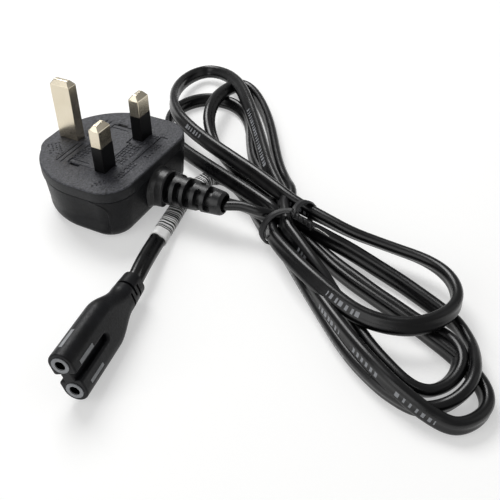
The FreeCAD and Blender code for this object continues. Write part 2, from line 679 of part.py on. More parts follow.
def insert_blank():
    """Hard insert without its bores: two tubes, a bridge, and ribs that show as strips."""
    tubes = [bore_cylinder(side, -INSERT_PROUD, INSERT_LENGTH, INSERT_TUBE_DIAMETER) for side in (-1, 1)]
    half = BORE_SPACING / 2
    bridge = box(INSERT_BRIDGE_START, INSERT_LENGTH, -half, half,
                 -INSERT_BRIDGE_THICKNESS / 2, INSERT_BRIDGE_THICKNESS / 2)
    ribs = []
    outer = stadium_prism(WINDOW_START, WINDOW_START + WINDOW_LENGTH, BORE_SPACING + LOBE_DIAMETER, LOBE_DIAMETER)
    for side in (-1, 1):
        for angle in WINDOW_ANGLES:
            rib = box(WINDOW_START, WINDOW_START + WINDOW_LENGTH, 0, LOBE_DIAMETER,
                      -WINDOW_WIDTH / 2, WINDOW_WIDTH / 2)
            rib.rotate(Vector(0, 0, 0), Vector(1, 0, 0), angle if side < 0 else angle + 180)
            rib.translate(Vector(0, side * half, 0))
            ribs.append(rib.common(outer))
    return join(tubes + [bridge] + ribs)


def make_connector_cover():
    """Black moulding: figure-eight nose, shoulders, tapering neck and its grooves."""
    width = BORE_SPACING + LOBE_DIAMETER
    neck_middle = (NECK_START + SHOULDER_LENGTH) / 2
    sections = [
        stadium(SHOULDER_LENGTH, width, LOBE_DIAMETER),
        stadium(SHOULDER_LENGTH + 2.5, width - 0.8, LOBE_DIAMETER),
        stadium(neck_middle + 0.5, NECK_WIDTH + 2.6, LOBE_DIAMETER - 0.1),
        stadium(NECK_START - 2, NECK_WIDTH + 0.2, NECK_HEIGHT),
        stadium(NECK_START, NECK_WIDTH, NECK_HEIGHT),
    ]
    shoulders = Part.makeLoft(sections, True, False)
    tail = Part.makeLoft([stadium(NECK_START, NECK_WIDTH, NECK_HEIGHT),
                          stadium(CONNECTOR_LENGTH, NECK_END_WIDTH, NECK_END_HEIGHT)], True, True)
    cuts = [insert_blank()]
    for i in range(NECK_GROOVE_COUNT):
        x = NECK_GROOVE_START + i * NECK_GROOVE_PITCH
        share = (x - NECK_START) / (CONNECTOR_LENGTH - NECK_START)
        wide = NECK_WIDTH + (NECK_END_WIDTH - NECK_WIDTH) * share
        high = NECK_HEIGHT + (NECK_END_HEIGHT - NECK_HEIGHT) * share
        end = x + NECK_GROOVE_WIDTH
        ring = stadium_prism(x, end, wide + 3, high + 3)
        core = stadium_prism(x, end, wide - 2 * NECK_GROOVE_DEPTH, high - 2 * NECK_GROOVE_DEPTH)
        overlap = NECK_GROOVE_OVERLAP
        uncut = box(x, end, overlap, wide, -wide, wide) if i % 2 else box(x, end, -wide, -overlap, -wide, wide)
        cuts.append(ring.cut(core).cut(uncut))
    return in_place(join([nose(), shoulders, tail]).cut(cuts))


def make_connector_insert():
    """Grey insert round both contacts."""
    bores = []
    for side in (-1, 1):
        bores.append(bore_cylinder(side, -1, ENTRY_DEPTH, ENTRY_DIAMETER))
        bores.append(bore_cylinder(side, ENTRY_DEPTH, ENTRY_DEPTH + CONTACT_LENGTH, CONTACT_OUTER_DIAMETER))
    return in_place(insert_blank().cut(bores))


def make_contact(side):
    """Tubular contact that a pin pushes into."""
    end = ENTRY_DEPTH + CONTACT_LENGTH
    tube = bore_cylinder(side, ENTRY_DEPTH, end, CONTACT_OUTER_DIAMETER)
    return in_place(tube.cut(bore_cylinder(side, ENTRY_DEPTH, end, CONTACT_INNER_DIAMETER)))


# Cord, hank, tie and label

def bend_radii(points):
    """Radius at each inner point: 0.45 of its shorter run over the tangent of half the turn."""
    radii = []
    for before, point, after in zip(points, points[1:], points[2:]):
        turn = (point - before).getAngle(after - point)
        radii.append(0.45 * min((point - before).Length, (after - point).Length) / math.tan(turn / 2))
    return radii


def route_wire(points, radii):
    """Straight runs joined by tangent arcs."""
    edges = []
    at = points[0]
    for before, point, after, radius in zip(points, points[1:], points[2:], radii):
        u = (point - before).normalize()
        v = (after - point).normalize()
        half_turn = u.getAngle(v) / 2
        tangent = radius * math.tan(half_turn)
        enter, leave = point - u * tangent, point + v * tangent
        middle = point + (v - u).normalize() * (radius / math.cos(half_turn) - radius)
        edges += [Part.LineSegment(at, enter).toShape(), Part.Arc(enter, middle, leave).toShape()]
        at = leave
    edges.append(Part.LineSegment(at, points[-1]).toShape())
    return Part.Wire(edges)


def flat_section(start, run, width, height):
    """Flat-sided oval across the start of a run, wide way level."""
    along = Vector(run.x, run.y, run.z).normalize()
    level = Vector(0, 0, 1).cross(along).normalize()
    return turned(stadium(0, width, height), start, along, level, along.cross(level))


def sweep(points, radii, width, height):
    """Flat cord, or a sleeve round it, along a route."""
    shell = Part.BRepOffsetAPI.MakePipeShell(route_wire(points, radii))
    shell.setBiNormalMode(Vector(0, 0, 1))
    shell.add(flat_section(points[0], points[1] - points[0], width, height))
    shell.build()
    shell.makeSolid()
    return shell.shape()


def connector_points():
    """Route of the connector's stretch, from the end of its neck to the hank."""
    return [CONNECTOR_FACE + connector_axes()[0] * CONNECTOR_LENGTH, *CONNECTOR_ROUTE]


def report_tube(name, points, tube):
    """Print a stretch's length, radii and volume against section times length."""
    radii = bend_radii(points)
    length = route_wire(points, radii).Length
    section = Part.Face(stadium(0, CORD_WIDTH, CORD_THICKNESS)).Area
    print(name, "length", round(length, 1), "radii", [round(r, 1) for r in radii],
          "volume share", round(tube.Volume / (section * length), 4), "valid", tube.isValid())


def make_stretch(name, points):
    """Free stretch of the flat cord."""
    tube = sweep(points, bend_radii(points), CORD_WIDTH, CORD_THICKNESS)
    report_tube(name, points, tube)
    return tube


def make_label():
    """Paper label wrapped round the cord, across two gentle bends."""
    points = connector_points()
    first, last = LABEL_BENDS
    radii = bend_radii(points)[first - 1:last]
    into = (points[first - 1] - points[first]).normalize()
    out = (points[last + 1] - points[last]).normalize()
    ends = [points[first] + into * LABEL_BEFORE_BEND, points[first], points[last], points[last] + out * LABEL_AFTER_BEND]
    wrap = sweep(ends, radii, CORD_WIDTH + 2 * LABEL_THICKNESS, CORD_THICKNESS + 2 * LABEL_THICKNESS)
    return wrap.cut(sweep(ends, radii, CORD_WIDTH, CORD_THICKNESS))


def bundle_wire(place, heading, bottom, width, height):
    """Rounded rectangle standing across the bundle's direction."""
    angle = math.radians(heading)
    along = Vector(math.cos(angle), math.sin(angle), 0)
    across = Vector(along.y, -along.x, 0)
    radius = min(BUNDLE_RADIUS, height / 2 - 0.2)
    wire = rounded_wire(rectangle(-width / 2, width / 2, bottom, bottom + height, radius), 0)
    return turned(wire, place, across, Vector(0, 0, 1), along * -1)


def tie_offset(distance):
    """Point along the bundle from the middle of the tie."""
    angle = math.radians(TIE_HEADING)
    return TIE_PLACE + Vector(math.cos(angle), math.sin(angle), 0) * distance


def bundle(width, height, bottom, length):
    """Straight block of the bundle, centred on the tie."""
    wire = bundle_wire(tie_offset(-length / 2), TIE_HEADING, bottom, width, height)
    return Part.Face(wire).extrude(tie_offset(length) - tie_offset(0))


def make_hank(stretches):
    """Outer shape of the tied hank: two flat lobes of loops and the bundle between them."""
    lobes = []
    for bends in (FAR_BENDS, NEAR_BENDS):
        lobe = Part.Face(belt_wire(bends)).extrude(Vector(0, 0, HANK_LAYER))
        lobes.append(lobe.makeFillet(HANK_EDGE_RADIUS, level_edges(lobe, HANK_LAYER)))
    bottom = TIE_THICKNESS
    pieces = [bundle(BUNDLE_WIDTH, BUNDLE_HEIGHT, bottom, BUNDLE_STRAIGHT)]
    for side, (place, heading, width, height) in ((1, FAR_SPREAD), (-1, NEAR_SPREAD)):
        near = bundle_wire(tie_offset(side * BUNDLE_STRAIGHT / 2), TIE_HEADING, bottom, BUNDLE_WIDTH, BUNDLE_HEIGHT)
        pieces.append(Part.makeLoft([near, bundle_wire(place, heading, 0, width, height)], True, True))
    clear = bundle(3 * BUNDLE_WIDTH, 2 * BUNDLE_HEIGHT, -BUNDLE_HEIGHT, BUNDLE_STRAIGHT)
    trimmed = [lobe.cut(clear) for lobe in lobes]
    return join(pieces + trimmed).cut(stretches)


def make_tie():
    """Wire tie: a band round the bundle and its twisted tail."""
    grown = 2 * TIE_THICKNESS
    band = bundle(BUNDLE_WIDTH + grown, BUNDLE_HEIGHT + grown, 0, TIE_WIDTH)
    band = band.cut(bundle(BUNDLE_WIDTH, BUNDLE_HEIGHT, TIE_THICKNESS, TIE_WIDTH))
    top = BUNDLE_HEIGHT + TIE_THICKNESS + TIE_TAIL_DIAMETER / 2
    start = tie_offset(0) + Vector(0, 0, top)
    end = tie_offset(-TIE_TAIL_REACH) + Vector(0, 0, top)
    tail = Part.makeCylinder(TIE_TAIL_DIAMETER / 2, TIE_TAIL_REACH, start, end - start)
    return join([band, tail])


def main():
    """Make every sub-part and write it."""
    os.makedirs("parts", exist_ok=True)
    save("plug_face", make_face_plate())
    save("plug_cover", make_plug_cover())
    for name in PIN_PLACES:
        save(name + "_pin", make_pin(name))
    for name in ("line", "neutral"):
        save(name + "_pin_sleeve", make_sleeve(name))
    save("fuse_carrier", make_fuse_carrier())
    save("fuse_tube", make_fuse_tube())
    for name, side in (("line", -1), ("load", 1)):
        save("fuse_cap_" + name, make_fuse_cap(side))
        save("fuse_clip_" + name, make_fuse_clip(side))
    save("plug_strain_relief", make_relief())
    save("connector_cover", make_connector_cover())
    save("connector_insert", make_connector_insert())
    for name, side in (("upper", -1), ("lower", 1)):
        save("contact_" + name, make_contact(side))
    plug_stretch = make_stretch("plug stretch", list(PLUG_ROUTE))
    connector_stretch = make_stretch("connector stretch", connector_points())
    save("cord_plug_stretch", plug_stretch)
    save("cord_connector_stretch", connector_stretch)
    save("cord_hank", make_hank([plug_stretch, connector_stretch]))
    save("hank_tie", make_tie())
    save("cord_label", make_label())


main()
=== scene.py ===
# mains lead: three-pin plug, flat twin cord in a tied hank, figure-eight connector
import math
from random import Random

import bmesh
import bpy
from mathutils import Matrix, Vector


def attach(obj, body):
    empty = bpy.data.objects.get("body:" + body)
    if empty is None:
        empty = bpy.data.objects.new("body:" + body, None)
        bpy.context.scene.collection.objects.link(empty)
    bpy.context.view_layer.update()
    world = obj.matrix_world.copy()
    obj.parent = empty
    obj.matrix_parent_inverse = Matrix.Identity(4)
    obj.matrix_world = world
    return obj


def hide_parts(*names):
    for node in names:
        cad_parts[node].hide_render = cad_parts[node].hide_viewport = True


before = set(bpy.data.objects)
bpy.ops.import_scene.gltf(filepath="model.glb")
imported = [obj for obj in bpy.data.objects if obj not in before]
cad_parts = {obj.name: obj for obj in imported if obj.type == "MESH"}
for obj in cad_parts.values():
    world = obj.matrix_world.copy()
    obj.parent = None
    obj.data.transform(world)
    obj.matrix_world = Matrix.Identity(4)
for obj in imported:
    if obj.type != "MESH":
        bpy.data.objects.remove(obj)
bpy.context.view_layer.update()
mm = 0.001
weld = 0.001 * mm  # points closer than this are one


# materials: colours are written as sRGB hex values and turned to linear here
def hexToLinear(code):
    channels = [int(code[i:i + 2], 16) / 255 for i in (0, 2, 4)]
    return [c / 12.92 if c <= 0.04045 else ((c + 0.055) / 1.055) ** 2.4 for c in channels] + [1.0]


def addNode(tree, kind, settings=None, links=None):
    node = tree.nodes.new(kind)
    for name, value in (settings or {}).items():
        if isinstance(name, int) or name in node.inputs:
            node.inputs[name].default_value = value
        else:
            setattr(node, name, value)
    for name, socket in (links or {}).items():
        tree.links.new(socket, node.inputs[name])
    return node


def newMaterial(name):
    material = bpy.data.materials.new(name)
    material.use_nodes = True
    tree = material.node_tree
    tree.nodes.clear()
    shader = addNode(tree, "ShaderNodeBsdfPrincipled")
    addNode(tree, "ShaderNodeOutputMaterial", links={"Surface": shader.outputs["BSDF"]})
    return material, tree, shader


def applyRecipe(tree, shader, recipe, shade, marks, height):
    # one pattern mixes the recipe's two colours, one sets its roughness and one its bump
    dark, light = hexToLinear(recipe["dark"]), hexToLinear(recipe["light"])
    tint = addNode(tree, "ShaderNodeMix", {"data_type": "RGBA", "A": dark, "B": light}, {"Factor": shade})
    smooth, rough = recipe["roughness"]
    sheen = addNode(tree, "ShaderNodeMapRange",
                    {"From Min": 0.3, "From Max": 0.7, "To Min": smooth, "To Max": rough},
                    {"Value": marks})
    bump = addNode(tree, "ShaderNodeBump", {"Strength": recipe["bump"], "Distance": recipe["bumpMm"] * mm},
                   {"Height": height})
    tree.links.new(tint.outputs["Result"], shader.inputs["Base Color"])
    tree.links.new(sheen.outputs["Result"], shader.inputs["Roughness"])
    tree.links.new(bump.outputs["Normal"], shader.inputs["Normal"])
    return tint.outputs["Result"]


def mouldedPlastic(name, recipe):
    # grain bump, a faint cloud of lighter and darker patches, and roughness that varies with it
    material, tree, shader = newMaterial(name)
    place = addNode(tree, "ShaderNodeTexCoord").outputs["Object"]
    grain = addNode(tree, "ShaderNodeTexNoise",
                    {"Scale": 1 / (recipe["grainMm"] * mm), "Detail": 3.0, "Roughness": 0.6},
                    {"Vector": place})
    cloud = addNode(tree, "ShaderNodeTexNoise",
                    {"Scale": 1 / (recipe["cloudMm"] * mm), "Detail": 5.0, "Roughness": 0.68},
                    {"Vector": place})
    patches = addNode(tree, "ShaderNodeMapRange", {"From Min": 0.34, "From Max": 0.66},
                      {"Value": cloud.outputs["Fac"]})
    applyRecipe(tree, shader, recipe, patches.outputs["Result"], grain.outputs["Fac"], grain.outputs["Fac"])
    shader.inputs["IOR"].default_value = recipe["ior"]
    shader.inputs["Specular IOR Level"].default_value = recipe["gloss"]
    return material


plasticRecipes = {
    # spark-textured face, with a grey bloom and fine mottle
    "grainedNylon": {"dark": "18191c", "light": "4e4f56", "grainMm": 0.6, "cloudMm": 1.0,
                     "roughness": (0.44, 0.62), "bump": 1.0, "bumpMm": 0.34, "ior": 1.53, "gloss": 0.42},
    # the same nylon where the mould is polished: the rim's side and the walls of the grooves
    "smoothNylon": {"dark": "0f1012", "light": "202124", "grainMm": 0.6, "cloudMm": 3,
                    "roughness": (0.4, 0.54), "bump": 0.5, "bumpMm": 0.12, "ior": 1.53, "gloss": 0.3},
    # overmould: blacker, with a soft sheen
    "softPvc": {"dark": "0b0b0d", "light": "17181b", "grainMm": 0.6, "cloudMm": 6,
                "roughness": (0.34, 0.5), "bump": 0.5, "bumpMm": 0.12, "ior": 1.52, "gloss": 0.2},
    # relief ribs, from a smoother mould
    "polishedPvc": {"dark": "0a0a0c", "light": "141416", "grainMm": 0.7, "cloudMm": 5,
                    "roughness": (0.3, 0.42), "bump": 0.3, "bumpMm": 0.08, "ior": 1.52, "gloss": 0.5},
    # pin sleeves: nearly black, so their edges show more than their faces
    "sleeveNylon": {"dark": "050506", "light": "09090a", "grainMm": 0.6, "cloudMm": 5,
                    "roughness": (0.3, 0.42), "bump": 0.2, "bumpMm": 0.05, "ior": 1.53, "gloss": 0.2},
    # grey insert behind the windows
    "insertNylon": {"dark": "7e8083", "light": "96989b", "grainMm": 0.4, "cloudMm": 4,
                    "roughness": (0.42, 0.55), "bump": 0.25, "bumpMm": 0.05, "ior": 1.53, "gloss": 0.4},
    # twist tie: thin plastic coat, duller than the cord
    "coatedWire": {"dark": "0b0b0c", "light": "19191b", "grainMm": 0.35, "cloudMm": 5,
                   "roughness": (0.42, 0.58), "bump": 0.5, "bumpMm": 0.08, "ior": 1.5, "gloss": 0.4},
    # fuse tube: fired and unglazed, an even off-white
    "fuseCeramic": {"dark": "d9d4c8", "light": "e6e2d8", "grainMm": 0.3, "cloudMm": 5,
                    "roughness": (0.5, 0.65), "bump": 0.15, "bumpMm": 0.03, "ior": 1.55, "gloss": 0.3},
}


def platedMetal(name, recipe):
    # fine drawing marks along the pin, and a slow change in colour where the plating is thinner
    material, tree, shader = newMaterial(name)
    place = addNode(tree, "ShaderNodeTexCoord").outputs["Object"]
    stretch = addNode(tree, "ShaderNodeMapping", {"Scale": (1, 1, 0.08)}, {"Vector": place})
    marks = addNode(tree, "ShaderNodeTexNoise", {"Scale": 1 / (recipe["markMm"] * mm), "Detail": 4.0},
                    {"Vector": stretch.outputs["Vector"]})
    cloud = addNode(tree, "ShaderNodeTexNoise", {"Scale": 1 / (recipe["cloudMm"] * mm), "Detail": 2.0},
                    {"Vector": place})
    applyRecipe(tree, shader, recipe, cloud.outputs["Fac"], marks.outputs["Fac"], marks.outputs["Fac"])
    shader.inputs["Metallic"].default_value = 1.0
    return material


metalRecipes = {
    # pins: bright and warm, with faint marks from drawing
    "nickelPlatedBrass": {"dark": "cfc4ac", "light": "e2d9c6", "markMm": 0.5, "cloudMm": 9,
                          "roughness": (0.19, 0.24), "bump": 0.03, "bumpMm": 0.01},
    # fuse caps and the bare wire of the tie: a colder plating
    "platedFuseCap": {"dark": "b5b5b2", "light": "cfcfcc", "markMm": 0.3, "cloudMm": 4,
                      "roughness": (0.18, 0.28), "bump": 0.03, "bumpMm": 0.01},
    # rolled spring clips
    "springBrass": {"dark": "b08d4a", "light": "cda965", "markMm": 0.3, "cloudMm": 4,
                    "roughness": (0.25, 0.35), "bump": 0.03, "bumpMm": 0.01},
    # contacts and the entries of their bores: coloured near black, painted shade for the dark inside the
    # bores
    "paintedShadeBrass": {"dark": "0d0b08", "light": "14110c", "markMm": 0.3, "cloudMm": 4,
                    "roughness": (0.4, 0.5), "bump": 0.03, "bumpMm": 0.01},
}

materials = {name: mouldedPlastic(name, recipe) for name, recipe in plasticRecipes.items()}
materials.update({name: platedMetal(name, recipe) for name, recipe in metalRecipes.items()})
print("materials", len(materials))


# plain pale ticks of uneven length along both flat faces of the cord
tickSpec = {"pitch": 1.9 * mm, "shortest": 0.3, "longest": 0.72, "middle": 0.5, "band": 0.09,
            "ink": "8c8e92"}

# stretches of the cord that carry ticks, in millimetres from the plug
tickRuns = ((153, 160), (162, 181), (183, 194), (521, 528), (530, 543), (545, 554), (570, 580),
            (624, 642), (645, 667), (777, 789), (840, 852), (944, 958), (1318, 1331), (1337, 1348),
            (1352, 1363))


def tickMask(tree, ruler, length):
    split = addNode(tree, "ShaderNodeSeparateXYZ", links={"Vector": ruler})
    share = addNode(tree, "ShaderNodeMath", {"operation": "DIVIDE", 1: length}, {0: split.outputs["X"]})
    runs = addNode(tree, "ShaderNodeValToRGB", links={"Fac": share.outputs[0]})
    ramp = runs.color_ramp
    ramp.interpolation = "CONSTANT"
    ramp.elements.remove(ramp.elements[1])
    for run in tickRuns:
        for place, level in zip(run, (1, 0)):
            ramp.elements.new(place * mm / length).color = (level, level, level, 1)
    ticks = addNode(tree, "ShaderNodeMath", {"operation": "DIVIDE", 1: tickSpec["pitch"]},
                    {0: split.outputs["X"]})
    phase = addNode(tree, "ShaderNodeMath", {"operation": "FRACT"}, {0: ticks.outputs[0]})
    number = addNode(tree, "ShaderNodeMath", {"operation": "FLOOR"}, {0: ticks.outputs[0]})
    chance = addNode(tree, "ShaderNodeTexWhiteNoise", {"noise_dimensions": "1D"}, {"W": number.outputs[0]})
    reach = addNode(tree, "ShaderNodeMapRange",
                    {"To Min": tickSpec["shortest"], "To Max": tickSpec["longest"]},
                    {"Value": chance.outputs["Value"]})
    tick = addNode(tree, "ShaderNodeMath", {"operation": "LESS_THAN"},
                   {0: phase.outputs[0], 1: reach.outputs["Result"]})
    turns = addNode(tree, "ShaderNodeMath", {"operation": "MULTIPLY", 1: 2.0}, {0: split.outputs["Y"]})
    side = addNode(tree, "ShaderNodeMath", {"operation": "FRACT"}, {0: turns.outputs[0]})
    band = addNode(tree, "ShaderNodeMath",
                   {"operation": "COMPARE", 1: tickSpec["middle"], 2: tickSpec["band"]},
                   {0: side.outputs[0]})
    inked = addNode(tree, "ShaderNodeMath", {"operation": "MULTIPLY"},
                    {0: tick.outputs[0], 1: band.outputs[0]})
    mask = addNode(tree, "ShaderNodeMath", {"operation": "MULTIPLY"},
                   {0: inked.outputs[0], 1: runs.outputs["Color"]})
    return mask.outputs[0]


sheathSpec = {"dark": "050506", "light": "0d0d0f", "cloudMm": 6, "grainMm": 1.2, "roughness": (0.24, 0.34),
              "bump": 0.1, "bumpMm": 0.05, "ior": 1.53, "gloss": 0.4}


def cordPvc(length):
    # extruded sheath: smooth and glossy, so its round edges catch the lamps as thin light lines
    material, tree, shader = newMaterial("extrudedPvc")
    ruler = addNode(tree, "ShaderNodeUVMap", {"uv_map": "cordRuler"}).outputs["UV"]
    place = addNode(tree, "ShaderNodeTexCoord").outputs["Object"]
    spec = sheathSpec
    wave = addNode(tree, "ShaderNodeTexNoise", {"Scale": 1 / (spec["cloudMm"] * mm), "Detail": 2.0},
                   {"Vector": place})
    fine = addNode(tree, "ShaderNodeTexNoise", {"Scale": 1 / (spec["grainMm"] * mm), "Detail": 2.0},
                   {"Vector": place})
    tint = applyRecipe(tree, shader, spec, wave.outputs["Fac"], wave.outputs["Fac"], fine.outputs["Fac"])
    inked = addNode(tree, "ShaderNodeMix", {"data_type": "RGBA", "B": hexToLinear(tickSpec["ink"])},
                    {"Factor": tickMask(tree, ruler, length), "A": tint})
    tree.links.new(inked.outputs["Result"], shader.inputs["Base Color"])
    shader.inputs["IOR"].default_value = spec["ior"]
    shader.inputs["Specular IOR Level"].default_value = spec["gloss"]
    return material


barSpec = {"bar": 0.85 * mm, "plainEnd": 5 * mm, "paper": "fdfdfc", "bars": "1b1c1e", "share": 0.5,
           "roughness": 0.35}


def barredSleeve():
    # shrunk white sleeve with dark bars of uneven width across it, and one end left plain
    material, tree, shader = newMaterial("printedSleeve")
    ruler = addNode(tree, "ShaderNodeUVMap", {"uv_map": "cordRuler"}).outputs["UV"]
    split = addNode(tree, "ShaderNodeSeparateXYZ", links={"Vector": ruler})
    stretched = addNode(tree, "ShaderNodeMath", {"operation": "DIVIDE", 1: barSpec["bar"]},
                        {0: split.outputs["X"]})
    bars = addNode(tree, "ShaderNodeTexNoise", {"noise_dimensions": "1D", "Scale": 1.0, "Detail": 0.0},
                   {"W": stretched.outputs[0]})
    dark = addNode(tree, "ShaderNodeMath", {"operation": "GREATER_THAN", 1: barSpec["share"]},
                   {0: bars.outputs["Fac"]})
    barsEnd = sleeveSpec["length"] - barSpec["plainEnd"]
    begun = addNode(tree, "ShaderNodeMath", {"operation": "LESS_THAN", 1: barsEnd},
                    {0: split.outputs["X"]})
    mask = addNode(tree, "ShaderNodeMath", {"operation": "MULTIPLY"},
                   {0: dark.outputs[0], 1: begun.outputs[0]})
    paper, bars = hexToLinear(barSpec["paper"]), hexToLinear(barSpec["bars"])
    tint = addNode(tree, "ShaderNodeMix", {"data_type": "RGBA", "A": paper, "B": bars},
                   {"Factor": mask.outputs[0]})
    tree.links.new(tint.outputs["Result"], shader.inputs["Base Color"])
    shader.inputs["Roughness"].default_value = barSpec["roughness"]
    return material


# camera, before the cord that is set out in its view
cameraSpec = {"place": (-0.16606, -0.14466, 0.15304), "heading": 27.19, "pitch": -40.43, "roll": -0.32,
              "fieldOfView": 38.63, "sensor": 36, "nearest": 0.01}


def addCamera():
    data = bpy.data.cameras.new("camera")
    data.sensor_width = cameraSpec["sensor"]
    data.angle = math.radians(cameraSpec["fieldOfView"])
    data.clip_start = cameraSpec["nearest"]
    camera = bpy.data.objects.new("camera", data)
    bpy.context.collection.objects.link(camera)
    turn = (Matrix.Rotation(math.radians(cameraSpec["heading"] - 90), 4, "Z")
            @ Matrix.Rotation(math.radians(90 + cameraSpec["pitch"]), 4, "X")
            @ Matrix.Rotation(math.radians(cameraSpec["roll"]), 4, "Z"))
    camera.matrix_world = Matrix.Translation(cameraSpec["place"]) @ turn
    bpy.context.scene.camera = camera


addCamera()
print("camera set")


# cord: one flat twin cord, folded into the hank from the plug to the connector
cordSpec = {"width": 5.6 * mm, "thickness": 3.4 * mm, "groove": 0.16 * mm, "around": 32, "stepsPerPoint": 5,
            "exit": (0, -0.0495, 0.0104)}

